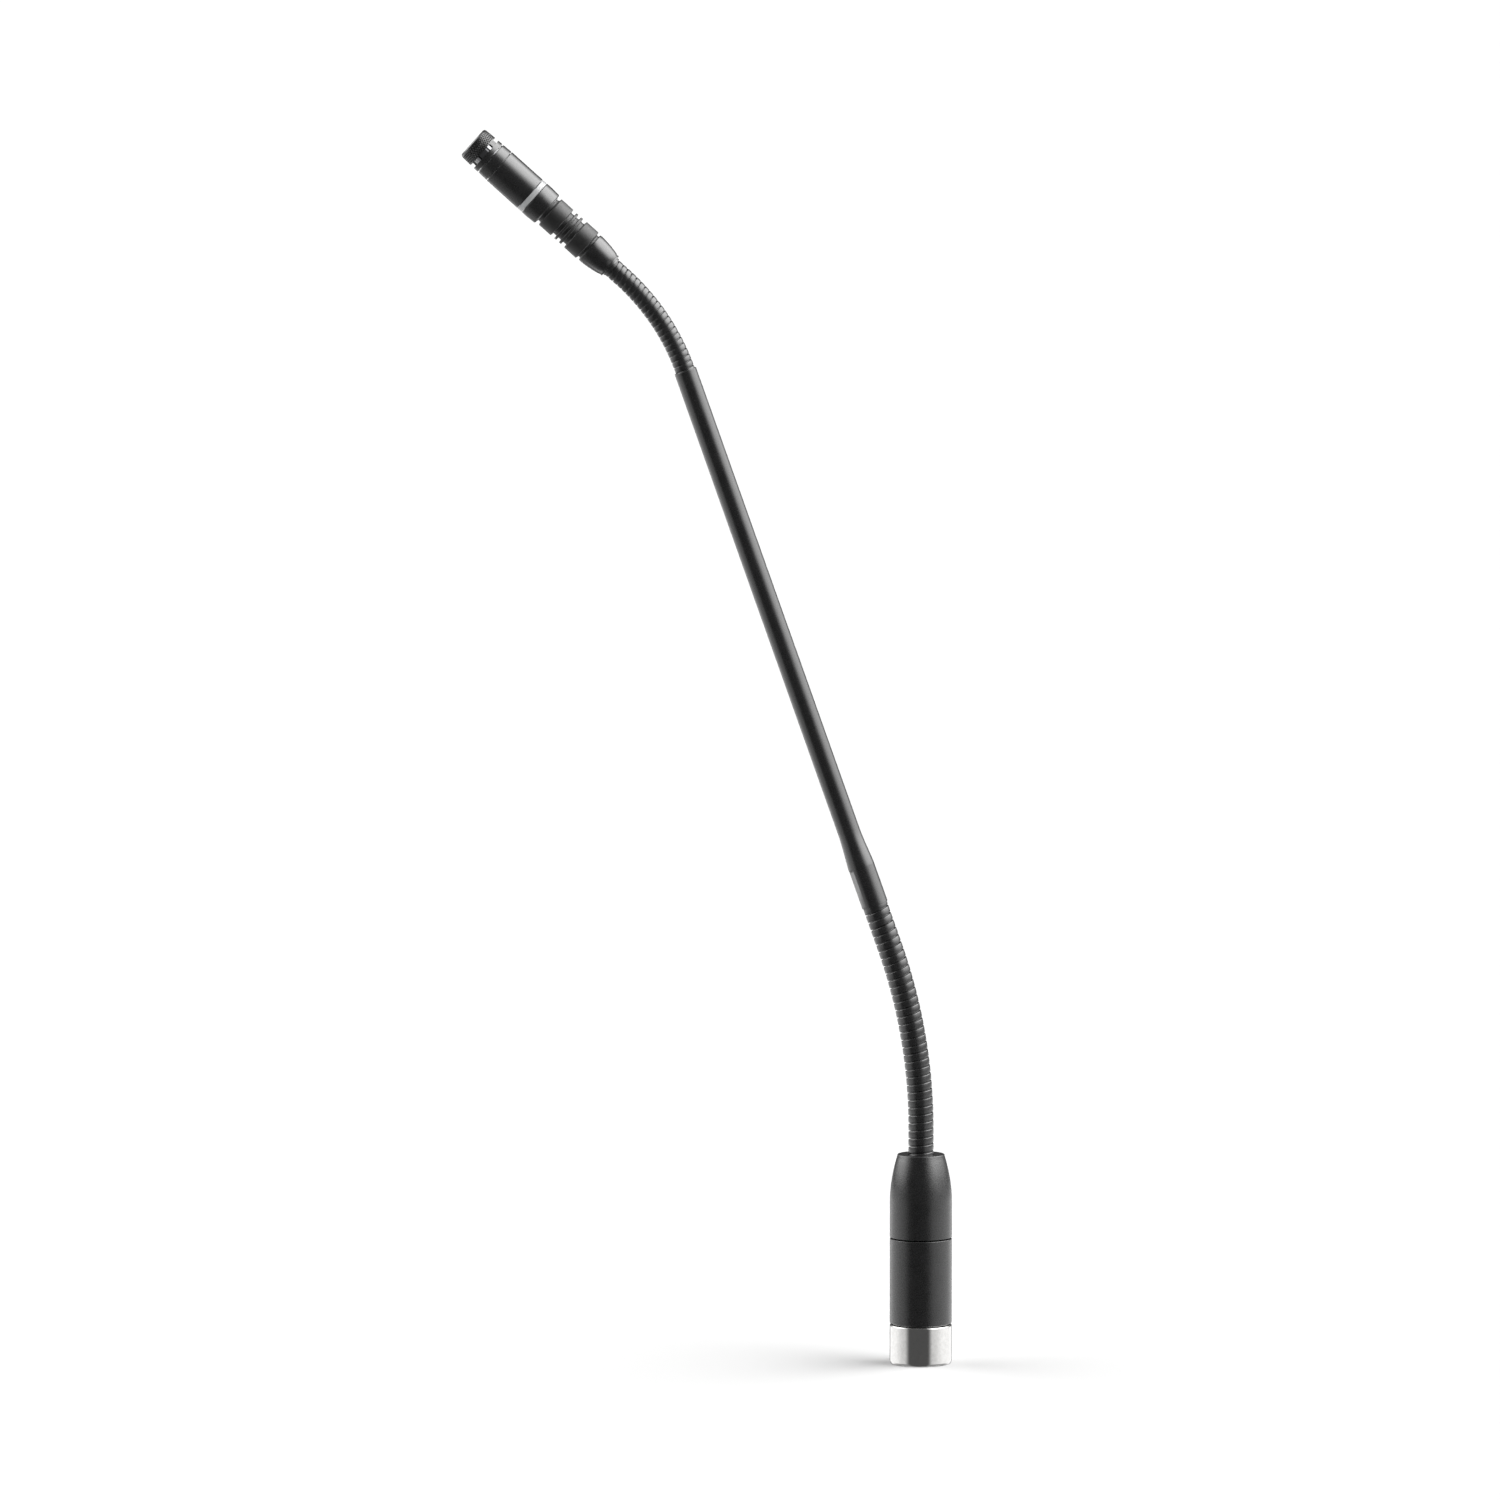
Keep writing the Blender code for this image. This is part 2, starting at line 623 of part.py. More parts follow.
def build_ring_carrier(pivot):
    """Inner tube that joins the two barrels through the light ring."""
    rear, front = BARREL_S + 4.0, RING_FRONT_S + 5.0
    turned("ring_carrier", "insulator", [
        (CARRIER_BORE_R, front), (CARRIER_FRONT_R, front), (CARRIER_FRONT_R, RING_REAR_S + 0.3),
        (CARRIER_REAR_R, RING_REAR_S + 0.2), (CARRIER_REAR_R, rear), (CARRIER_BORE_R, rear),
    ], HEAD, pivot, NECK_SIDES)


def build_light_board(pivot):
    """Annular board with a diode on each side of the axis, behind it."""
    rear, front = RING_FRONT_S + 1.4, RING_FRONT_S + 2.2
    turned("light_board", "board", [
        (LIGHT_BOARD_BORE_R, front), (LIGHT_BOARD_R, front),
        (LIGHT_BOARD_R, rear), (LIGHT_BOARD_BORE_R, rear),
    ], HEAD, pivot, SMALL_SIDES)
    for i in range(2):
        degrees = 180 * i
        frame = HEAD @ polar(DIODE_CIRCLE_R, degrees, RING_FRONT_S + 0.75) @ turn(degrees + 90, "Z")
        box(f"light_diode_{i + 1}", "diode", (1.6, 0.9, 0.9), (0.0, 0.0, 0.0), frame, pivot)


def build_head_board(pivot):
    """Lengthwise board with its chip, and the spring ahead of it."""
    board_s = RING_FRONT_S + 2.6 + HEAD_BOARD_L / 2
    box("head_board", "board", size=(6.6, 0.8, HEAD_BOARD_L), centre=(0.0, HEAD_BOARD_Y, board_s),
        frame=HEAD, pivot=pivot)
    box("head_chip", "chip", size=(3.0, 1.0, 2.4), centre=(0.0, -0.45, RING_FRONT_S + 6.5),
        frame=HEAD, pivot=pivot)
    coil("contact_spring", "gold", radius=0.85, wire_r=0.16, length=1.7, turns=3, per_turn=8,
         frame=HEAD @ shift(y=HEAD_BOARD_Y, z=HEAD_JOINT_S - 0.75), pivot=pivot)


def build_head(pivot):
    build_rear_barrel(pivot)
    build_head_spigot(pivot)
    build_light_ring(pivot)
    build_head_barrel(pivot)
    build_ring_carrier(pivot)
    build_light_board(pivot)
    build_head_board(pivot)


# ---------------------------------------------------------------- head: capsule section
CAP_BORE_R = 4.35
CAP_SLOT_BORE_R = 4.75  # wider inside at the slot
POSTS = 4
POST_W = 1.1
POST_TURN = 42.0  # the first post's angle about the head's axis, in degrees
SLOT_CUT = 7.0  # side of the square blocks that open the slot
FACE_PLATE_R = 4.25
FACE_HOLE_R = 0.42
FACE_HOLES = ((1.3, 6), (2.6, 10))  # (circle radius, number of holes)


def build_seal_ring(pivot):
    """Sealing ring that travels with the section as it unscrews."""
    joint = HEAD_JOINT_S
    turned("seal_ring", "seal", [
        (4.62, joint - 1.9), (4.9, joint - 1.9), (5.08, joint - 2.15), (5.08, joint - 2.45),
        (4.9, joint - 2.7), (4.62, joint - 2.7),
    ], HEAD, pivot, INNER_SIDES)


def build_capsule_housing(pivot):
    """Housing that screws into the barrel; a groove parts its front edge from the cap."""
    joint = HEAD_JOINT_S
    turned("capsule_housing", "black_metal", [
        (4.35, CAP_S), (5.2, CAP_S), (5.2, CAP_S - 0.25), (HEAD_R - 0.3, CAP_S - 0.3),
        (HEAD_R - 0.15, CAP_S - 0.45), (HEAD_R - 0.05, joint + 0.25), (HEAD_R - 0.15, joint + 0.1),
        (4.95, joint + 0.1), (4.95, joint - 1.7), (4.5, joint - 1.7), (4.5, joint - 2.9),
        (4.95, joint - 2.9), (4.95, joint - 4.6), (3.9, joint - 4.6), (3.9, joint + 1.2),
        (4.35, joint + 1.4),
    ], HEAD, pivot, HEAD_SIDES)


def build_capsule(pivot):
    """Contact plate, the capsule's thin can, which shows through the slot, and its clamp ring."""
    joint = HEAD_JOINT_S
    rod("capsule_contact", "gold", radius=3.6, length=0.5, frame=HEAD @ shift(z=joint + 1.4),
        pivot=pivot, sides=SMALL_SIDES)
    turned("condenser_capsule", "can", [
        (0.9, joint + 7.3), (3.9, joint + 7.3), (4.1, joint + 7.1), (4.1, joint + 2.0),
        (3.8, joint + 2.0), (3.8, joint + 6.9), (0.9, joint + 6.9),
    ], HEAD, pivot, INNER_SIDES)
    turned("capsule_clamp_ring", "brass", [
        (2.9, joint + 8.1), (4.2, joint + 8.1), (4.2, joint + 7.4), (2.9, joint + 7.4),
    ], HEAD, pivot, INNER_SIDES)


def build_front_cap(pivot):
    """A collar, four posts round the slot, then a rounded rim."""
    cap = turned("front_cap", "black_metal", [
        (CAP_BORE_R, FACE_S), (4.9, FACE_S), (5.2, FACE_S - 0.2), (5.4, FACE_S - 0.65),
        (5.52, FACE_S - 1.5), (5.58, SLOT_FRONT_S + 0.3), (5.62, CAP_S + 0.4), (5.5, CAP_S + 0.15),
        (CAP_BORE_R, CAP_S + 0.15), (CAP_BORE_R, CAP_S + 0.7), (CAP_SLOT_BORE_R, CAP_S + 0.9),
        (CAP_SLOT_BORE_R, FACE_S - 1.6), (CAP_BORE_R, FACE_S - 1.4),
    ], HEAD, pivot, HEAD_SIDES)
    # each block opens the quarter between two posts
    middle = (POST_W + SLOT_CUT) / 2
    centre = shift(middle, middle, (SLOT_REAR_S + SLOT_FRONT_S) / 2)
    for i in range(POSTS):
        name = f"cut_slot_{i + 1}"
        mesh = block_mesh(name, (SLOT_CUT, SLOT_CUT, SLOT_FRONT_S - SLOT_REAR_S))
        cut(cap, name, mesh, HEAD @ turn(POST_TURN + 360.0 / POSTS * i, "Z") @ centre)


def build_front_mesh(pivot):
    """Perforated face plate, held inside the cap's rim."""
    name = "front_mesh"
    plate = add_mesh(name, "black_mesh", cylinder_mesh(name, FACE_PLATE_R, 0.5, HEAD_SIDES),
                     HEAD @ shift(z=FACE_S - 0.75), pivot)
    for circle_r, count in FACE_HOLES:
        for i in range(count):
            cut_round(plate, f"cut_mesh_{count}_{i + 1}", FACE_HOLE_R, length=2.0,
                      frame=HEAD @ polar(circle_r, 360 * i / count, FACE_S - 1.5), sides=6)


# ---------------------------------------------------------------- assembly
base_pivot = build_base()
lower_end = build_links(LOWER_FLEX, base_pivot)
build_tube(lower_end)
upper_end = build_links(UPPER_FLEX, lower_end)
build_ferrule_bush(upper_end)
build_cone_ferrule(upper_end)

# the isolator's two pivots lie midway in the gaps at its ends
isolator_frame = place(HEAD_S + (CONE_L + ISOLATOR_REAR_S) / 2)
isolator_pivot = add_pivot("pivot_isolator", isolator_frame, upper_end)
build_isolator(isolator_pivot)
head_frame = place(HEAD_S + (ISOLATOR_FRONT_S + BARREL_S) / 2)
head_pivot = add_pivot("pivot_head", head_frame, isolator_pivot)
build_head(head_pivot)

joint_frame = place(HEAD_S + HEAD_JOINT_S)
seal_pivot = add_pivot("pivot_seal", joint_frame, head_pivot)
capsule_pivot = add_pivot("pivot_capsule", joint_frame, seal_pivot)
build_seal_ring(seal_pivot)
build_capsule_housing(capsule_pivot)
build_capsule(capsule_pivot)
build_front_cap(capsule_pivot)
build_front_mesh(capsule_pivot)
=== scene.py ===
"""Studio scene of a gooseneck podium microphone.

The plug end stands upright on the world Z axis. From there a lower gooseneck, a rigid tube, an upper
gooseneck and the head follow one line that leans towards -X (left). The camera looks along +Y.
Turned parts are lathes placed at stations along that line; each gooseneck is a wound band, in one
piece per hinge. Lengths are in millimetres unless said otherwise.
"""
import json
import math
from typing import NamedTuple

import bmesh
import bpy
from mathutils import Matrix, Vector


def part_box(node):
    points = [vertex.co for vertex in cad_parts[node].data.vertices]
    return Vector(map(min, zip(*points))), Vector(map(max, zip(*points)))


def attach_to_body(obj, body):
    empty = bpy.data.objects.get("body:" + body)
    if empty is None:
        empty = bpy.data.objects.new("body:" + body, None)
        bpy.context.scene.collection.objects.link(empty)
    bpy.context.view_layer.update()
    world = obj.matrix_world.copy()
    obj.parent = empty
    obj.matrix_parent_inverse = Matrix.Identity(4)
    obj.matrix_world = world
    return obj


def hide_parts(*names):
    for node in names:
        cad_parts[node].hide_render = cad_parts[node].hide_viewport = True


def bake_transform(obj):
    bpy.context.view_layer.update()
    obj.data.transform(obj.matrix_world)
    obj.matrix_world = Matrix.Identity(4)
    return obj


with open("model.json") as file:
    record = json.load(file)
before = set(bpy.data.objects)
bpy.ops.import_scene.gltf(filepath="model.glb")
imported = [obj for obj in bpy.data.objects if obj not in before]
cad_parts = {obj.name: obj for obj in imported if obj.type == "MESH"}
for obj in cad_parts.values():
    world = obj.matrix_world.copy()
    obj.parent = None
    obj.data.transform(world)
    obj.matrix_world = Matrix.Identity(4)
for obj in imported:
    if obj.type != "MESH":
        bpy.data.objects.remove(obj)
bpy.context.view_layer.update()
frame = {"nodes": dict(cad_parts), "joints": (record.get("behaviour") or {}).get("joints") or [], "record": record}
MM = 0.001

# ------------------------------------------------------------------ layout
# base, as heights above the plug's rim
RIM_Z = -12.5
BASE_R = 9.5
JOINT_H = 38.8  # seam between the two housings
NOSE_H = 50.6  # where the upper housing starts to narrow
NOSE_TOP_H = 64.6
NOSE_R = 7.25
SCREW_H = 57.0
CONTACTS = 5
CONTACT_CIRCLE_R = 4.55

# neck line, as (length, degrees of lean gained) pieces
LOWER_PATH = [(7.7, 0.0), (57.4, 19.5), (13.6, 0.0)]
TUBE_L = 173.4
UPPER_PATH = [(34.7, 28.5), (5.0, 0.0)]
HEAD_L = 56.0
LOWER_HINGES, UPPER_HINGES = 12, 8
NECK = LOWER_PATH + [(TUBE_L, 0.0)] + UPPER_PATH + [(HEAD_L, 0.0)]
LOWER_L = sum(length for length, _ in LOWER_PATH)
UPPER_L = sum(length for length, _ in UPPER_PATH)
UPPER_S = LOWER_L + TUBE_L
HEAD_S = UPPER_S + UPPER_L

# tube
TUBE_R = 3.45
TUBE_BORE_R = 3.12
FLARE_R = 4.1
FLARE_BORE_R = 3.92
FLARE_S = 12.6  # end of the flare's straight part
FLARE_EASE_L = 11.4  # length over which it narrows to the tube
CRIMP = math.radians(-160.0)  # the pressed flat faces left, 20 degrees towards the camera
CRIMP_HALF = math.radians(28.0)

# head, as stations from its start
CONE_L = 8.55
ISO_START, ISO_END = 9.15, 25.05  # rubber isolator
ISO_MIDDLE = (ISO_START + ISO_END) / 2
BARREL_S = 25.6
RING_START, RING_END = 31.0, 32.75  # light ring
JOINT_S = 45.35  # seam between the main barrel and the capsule barrel
CAP_S = 48.95
SLOT_LOW, SLOT_HIGH = 50.65, 51.95
FACE_S = 56.2
HEAD_R = 5.8
POSTS = 4
POST_W = 1.1
POST_TURN = 42.0

AROUND = 112


def walk(pieces, start, lean, s):
    """(x, z, lean) at distance s along straight and arc pieces, leaning towards -X."""
    x, z = start
    for length, gained in pieces:
        step = min(max(s, 0.0), length)
        turn = math.radians(gained) * step / length
        if abs(turn) < 1e-9:
            x, z = x - math.sin(lean) * step, z + math.cos(lean) * step
        else:
            radius = step / turn
            x += radius * (math.cos(lean + turn) - math.cos(lean))
            z += radius * (math.sin(lean + turn) - math.sin(lean))
            lean += turn
        s -= length
        if s <= 0:
            break
    return x, z, lean


def place(s):
    """World matrix in metres at station s; below 0 it runs straight down into the housing."""
    x, z, lean = walk(NECK, (0.0, RIM_Z + NOSE_TOP_H), 0.0, s)
    made = Matrix.Translation(Vector((x, 0.0, z)) * MM) @ Matrix.Rotation(-lean, 4, "Y")
    return made @ Matrix.Translation((0, 0, s * MM)) if s < 0 else made


RIM = Matrix.Translation((0, 0, RIM_Z * MM))
TUBE = place(LOWER_L)
HEAD = place(HEAD_S)
FLOOR_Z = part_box("plug_shell")[0].z  # metres


def match_joints(prefix, start, length, hinges):
    """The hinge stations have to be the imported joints' own places."""
    joints = {joint["name"]: joint for joint in frame["joints"]}
    for k in range(hinges):
        kind, number = ("bend", "side")[k % 2], k // 2 + 1
        name = f"{prefix}_{kind}" + (f"_{number}" if number > 1 else "")
        station = place(start + (k + 0.5) * length / hinges).translation
        gap = (Vector(joints[name]["pos_m"]) - station).length
        assert gap < 2e-5, f"{name} is {gap} m from its station"


match_joints("lower", 0.0, LOWER_L, LOWER_HINGES)
match_joints("upper", UPPER_S, UPPER_L, UPPER_HINGES)

# ------------------------------------------------------------------ node helper


class Tree:
    """A small wrapper that keeps node code readable."""

    def __init__(self, owner):
        owner.use_nodes = True
        self.tree = owner.node_tree
        self.tree.nodes.clear()

    def new(self, kind, **settings):
        node = self.tree.nodes.new(kind)
        for key, value in settings.items():
            setattr(node, key, value)
        return node

    def put(self, socket, value):
        if isinstance(value, bpy.types.NodeSocket):
            self.tree.links.new(value, socket)
        else:
            socket.default_value = value

    def put_all(self, node, values):
        for key, value in values.items():
            self.put(node.inputs[key], value)

    def surface(self):
        """A principled shader on the material output."""
        out = self.new("ShaderNodeOutputMaterial")
        shader = self.new("ShaderNodeBsdfPrincipled")
        self.put(out.inputs["Surface"], shader.outputs[0])
        return shader

    def math(self, kind, a, b=0.0, clamp=False):
        node = self.new("ShaderNodeMath", operation=kind, use_clamp=clamp)
        for socket, value in zip(node.inputs, (a, b, 0.0)):
            self.put(socket, value)
        return node.outputs[0]

    def add(self, first, *others):
        for other in others:
            first = self.math("ADD", first, other)
        return first

    def times(self, a, b):
        return self.math("MULTIPLY", a, b)

    def minus(self, a, b):
        return self.math("SUBTRACT", a, b)

    def weigh(self, a, weight_a, b, weight_b):
        return self.add(self.times(a, weight_a), self.times(b, weight_b))

    def split(self, vector):
        node = self.new("ShaderNodeSeparateXYZ")
        self.put(node.inputs[0], vector)
        return node.outputs[0], node.outputs[1], node.outputs[2]

    def join(self, x, y, z):
        node = self.new("ShaderNodeCombineXYZ")
        for socket, value in zip(node.inputs, (x, y, z)):
            self.put(socket, value)
        return node.outputs[0]

    def noise(self, vector, scale, detail, rough):
        node = self.new("ShaderNodeTexNoise")
        self.put_all(node, {"Vector": vector, "Scale": scale, "Detail": detail, "Roughness": rough})
        return node.outputs["Fac"]

    def span(self, value, source, to=(0.0, 1.0), smooth=False):
        """Maps the source range onto another, clamped."""
        kind = "SMOOTHSTEP" if smooth else "LINEAR"
        node = self.new("ShaderNodeMapRange", interpolation_type=kind, clamp=True)
        for socket, v in zip(node.inputs, (value, *source, *to)):
            self.put(socket, v)
        return node.outputs[0]

    def blend(self, share, a, b):
        """Mixes two colours, each a socket or an RGB tuple."""
        node = self.new("ShaderNodeMix", data_type="RGBA")
        self.put(node.inputs["Factor"], share)
        for key, value in (("A", a), ("B", b)):
            socket = [s for s in node.inputs if s.name == key and s.type == "RGBA"][0]
            self.put(socket, (*value, 1.0) if isinstance(value, tuple) else value)
        return [s for s in node.outputs if s.type == "RGBA"][0]

    def bump(self, height, strength, distance):
        node = self.new("ShaderNodeBump")
        self.put_all(node, {"Strength": strength, "Distance": distance, "Height": height})
        return node.outputs[0]

    def attribute(self, name):
        return self.new("ShaderNodeAttribute", attribute_name=name)

    def coords(self, cad):
        """The part's own millimetres: stored on made pieces, object coordinates on CAD nodes."""
        if not cad:
            return self.attribute("loc").outputs["Vector"]
        metres = self.new("ShaderNodeTexCoord").outputs["Object"]
        node = self.new("ShaderNodeVectorMath", operation="MULTIPLY")
        self.put(node.inputs[0], metres)
        self.put(node.inputs[1], (1000.0, 1000.0, 1000.0))
        return node.outputs[0]


# ------------------------------------------------------------------ materials


class Look(NamedTuple):
    base: tuple  # colour
    other: tuple  # colour at the other end of its variation
    rough: tuple  # lowest and highest roughness
    grain: float  # noise scale per mm
    bump: float  # bump strength
    metallic: float = 0.0
    lines: float = 0.0  # turning lines, 0-1
    wear: float = 0.0  # edge wear, 0-1
    level: float = 0.5  # specular level
    lift: float = 0.08  # brightness added on worn edges


LOOKS = {
    "shell_metal": Look((0.64, 0.635, 0.625), (0.58, 0.575, 0.565), (0.09, 0.17),
                        grain=0.9, bump=0.03, metallic=1.0, lines=0.35),
    "black_housing": Look((0.0040, 0.0040, 0.0043), (0.0085, 0.0085, 0.0088), (0.22, 0.34),
                          grain=2.0, bump=0.95, wear=0.30, level=0.80, lift=0.030),
    "black_metal": Look((0.0045, 0.0045, 0.0048), (0.0080, 0.0080, 0.0084), (0.22, 0.32),
                        grain=4.0, bump=0.24, lines=0.35, wear=0.35, level=0.92, lift=0.035),
    "black_flex": Look((0.0045, 0.0045, 0.0048), (0.0085, 0.0085, 0.0090), (0.22, 0.34),
                       grain=4.0, bump=0.20, wear=0.25, level=0.85, lift=0.025),
    "black_rubber": Look((0.0060, 0.0060, 0.0060), (0.0120, 0.0120, 0.0118), (0.36, 0.54),
                         grain=2.2, bump=0.60, wear=0.18, level=0.60, lift=0.030),
    "black_mesh": Look((0.0080, 0.0080, 0.0085), (0.0140, 0.0140, 0.0140), (0.32, 0.46),
                       grain=6.0, bump=0.15, wear=0.50, level=0.55, lift=0.045),
    "light_plastic": Look((0.30, 0.303, 0.307), (0.36, 0.363, 0.367), (0.22, 0.34),
                          grain=2.4, bump=0.05),
    "brass": Look((0.72, 0.52, 0.22), (0.55, 0.38, 0.15), (0.20, 0.38),
                  grain=2.0, bump=0.08, metallic=1.0, lines=0.8, wear=0.2),
    "gold": Look((0.90, 0.66, 0.25), (0.80, 0.56, 0.20), (0.14, 0.26),
                 grain=2.5, bump=0.05, metallic=1.0, lines=0.35),
    "steel": Look((0.56, 0.56, 0.57), (0.44, 0.44, 0.46), (0.22, 0.40),
                  grain=2.5, bump=0.08, metallic=1.0, lines=0.5, wear=0.2),
    "insulator": Look((0.024, 0.024, 0.026), (0.036, 0.036, 0.038), (0.38, 0.52),
                      grain=3.0, bump=0.12, wear=0.2),
    "chip": Look((0.014, 0.014, 0.015), (0.024, 0.024, 0.024), (0.48, 0.62),
                 grain=7.0, bump=0.20, wear=0.1),
    "can": Look((0.26, 0.26, 0.27), (0.20, 0.20, 0.21), (0.10, 0.18),
                grain=2.0, bump=0.05, metallic=1.0, lines=0.4),
    "cable": Look((0.014, 0.014, 0.014), (0.026, 0.026, 0.026), (0.45, 0.60),
                  grain=4.0, bump=0.20, wear=0.1),
    "seal": Look((0.015, 0.015, 0.015), (0.026, 0.026, 0.025), (0.50, 0.66),
                 grain=3.5, bump=0.20, wear=0.1, level=0.45),
    "diode": Look((0.86, 0.86, 0.70), (0.80, 0.78, 0.55), (0.12, 0.20),
                  grain=1.5, bump=0.04),
}
SHEEN = {"Sheen Weight": 0.10, "Sheen Roughness": 0.45}
MORE_INPUTS = {
    "light_plastic": {
        "Subsurface Weight": 0.25, "Subsurface Radius": (0.0012, 0.0012, 0.0012),
        "Subsurface Scale": 1.0, "Coat Weight": 0.25, "Coat Roughness": 0.12,
    },
    "black_rubber": SHEEN,
    "cable": SHEEN,
    "seal": SHEEN,
}
BUMP_DISTANCE = 0.00005  # metres
BOARD_BUMP_DISTANCE = 0.00006
made_materials = {}


def material(slot, cad=False):
    """The procedural finish of one slot, for made pieces or for CAD nodes."""
    key = f"{slot}_{'cad' if cad else 'fine'}"
    if key not in made_materials:
        made = made_materials[key] = bpy.data.materials.new("finish_" + key)
        if slot == "board":
            board_finish(made, cad)
        else:
            plain_finish(made, cad, LOOKS[slot], MORE_INPUTS.get(slot, {}))
    return made_materials[key]


def plain_finish(made, cad, look, more_inputs):
    """Mottled colour and roughness, with optional lathe marks and lighter worn edges, which on the tube's crimp
    also paint highlight lines.
    """
    t = Tree(made)
    shader = t.surface()
    at = t.coords(cad)
    broad = t.noise(at, scale=0.22, detail=3.0, rough=0.6)
    fine = t.noise(at, scale=look.grain, detail=4.0, rough=0.62)
    speck = t.noise(at, scale=look.grain * 2.6, detail=2.0, rough=0.5)
    share = t.span(t.weigh(broad, 0.45, fine, 0.55), (0.34, 0.66))
    colour = t.blend(share, look.base, look.other)
    rough = t.span(t.weigh(fine, 0.6, broad, 0.4), (0.35, 0.65), to=look.rough)
    height = t.weigh(fine, 0.65, speck, 0.35)
    if look.lines:
        marks = lathe_marks(t, at)
        height = t.weigh(height, 1.0 - 0.6 * look.lines, marks, 0.9 * look.lines)
        rough = t.add(rough, t.times(t.minus(marks, 0.5), 0.16 * look.lines))
    if look.wear and not cad:
        # marked edges are painted lighter: wear, and on the tube's crimp a painted highlight
        patches = t.span(t.noise(at, scale=1.7, detail=4.0, rough=0.7), (0.38, 0.66))
        wear_and_highlight_edges = t.math("MULTIPLY", t.attribute("edge").outputs["Fac"], patches, clamp=True)
        wear_and_highlight_edges = t.times(wear_and_highlight_edges, look.wear)
        light = tuple(min(1.0, c * 1.5 + look.lift) for c in look.base)
        colour = t.blend(wear_and_highlight_edges, colour, light)
        rough = t.minus(rough, t.times(wear_and_highlight_edges, 0.10))
    t.put_all(shader, {
        "Base Color": colour, "Roughness": rough, "Metallic": look.metallic,
        "Specular IOR Level": look.level, "Normal": t.bump(height, look.bump, BUMP_DISTANCE),
        **more_inputs,
    })


def lathe_marks(t, at):
    """Lathe marks run round the axis, so they change mostly along it."""
    x, y, z = t.split(at)
    along = t.join(0.0, 0.0, t.times(z, 11.0))
    marks = t.noise(along, scale=1.0, detail=4.0, rough=0.7)
    skewed = t.join(t.times(x, 0.25), t.times(y, 0.25), t.times(z, 7.0))
    broken = t.noise(skewed, scale=1.0, detail=2.0, rough=0.5)
    return t.weigh(marks, 0.6, broken, 0.4)


def board_finish(made, cad):
    """Solder resist with copper tracks under it and tinned pads."""
    tracks_per_mm, track_half_width = 0.8, 0.17  # the half width is a share of a lane
    pads_per_mm_x, pads_per_mm_z, pad_radius = 0.45, 0.33, 0.15
    resist, over_track, tin = (0.010, 0.085, 0.032), (0.018, 0.150, 0.055), (0.62, 0.62, 0.60)
    t = Tree(made)
    shader = t.surface()
    at = t.coords(cad)
    x, _, z = t.split(at)
    bend = t.noise(at, scale=0.6, detail=2.0, rough=0.5)
    shift = t.times(t.math("SNAP", bend, 0.12), 6.0)
    lane = t.math("FRACT", t.add(t.times(x, tracks_per_mm), shift))
    off_lane = t.math("ABSOLUTE", t.minus(lane, 0.5))
    track = t.math("LESS_THAN", off_lane, track_half_width)
    pad_x = t.minus(t.math("FRACT", t.times(x, pads_per_mm_x)), 0.5)
    pad_z = t.minus(t.math("FRACT", t.times(z, pads_per_mm_z)), 0.5)
    far = t.math("SQRT", t.add(t.times(pad_x, pad_x), t.times(pad_z, pad_z)))
    pad = t.math("LESS_THAN", far, pad_radius)
    fine = t.noise(at, scale=4.0, detail=3.0, rough=0.6)
    height = t.add(t.times(track, 0.5), t.weigh(pad, 0.6, fine, 0.15))
    t.put_all(shader, {
        "Base Color": t.blend(pad, t.blend(track, resist, over_track), tin),
        "Metallic": pad,
        "Roughness": t.span(fine, (0.3, 0.7), to=(0.26, 0.42)),
        "Normal": t.bump(height, 0.35, BOARD_BUMP_DISTANCE),
    })


# ------------------------------------------------------------------ meshes and objects


def add_object(name, data, matrix=Matrix()):
    obj = bpy.data.objects.new(name, data)
    bpy.context.scene.collection.objects.link(obj)
    obj.matrix_world = matrix
    return obj


def shade(mesh, angle):
    mesh.shade_smooth()
    mesh.set_sharp_from_angle(angle=math.radians(angle))


def closed_mesh(name, verts, faces):
    """A mesh from points in metres, with its faces turned outwards."""
    mesh = bpy.data.meshes.new(name)
    mesh.from_pydata(verts, [], faces)
    work = bmesh.new()
    work.from_mesh(mesh)
    bmesh.ops.recalc_face_normals(work, faces=work.faces)
    work.to_mesh(mesh)
    work.free()
    return mesh


def own_places(mesh):
    return [tuple(c * 1000 for c in v.co) for v in mesh.vertices]


def store(mesh, places, edges):
    """Keeps each point's own millimetre coordinates, and its edge mask, for the shaders."""
    layer = mesh.attributes.new("loc", "FLOAT_VECTOR", "POINT")
    layer.data.foreach_set("vector", [c for v in places for c in v])
    layer = mesh.attributes.new("edge", "FLOAT", "POINT")
    layer.data.foreach_set("value", edges)


def soften(obj):
    normals = obj.modifiers.new("normals", "WEIGHTED_NORMAL")
    normals.keep_sharp = True
    normals.weight = 60


def attach(obj, body, replaced=None):
    """Makes a piece ride on one body, in place of a CAD node if one is named."""
    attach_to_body(obj, body)
    if replaced:
        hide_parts(replaced)


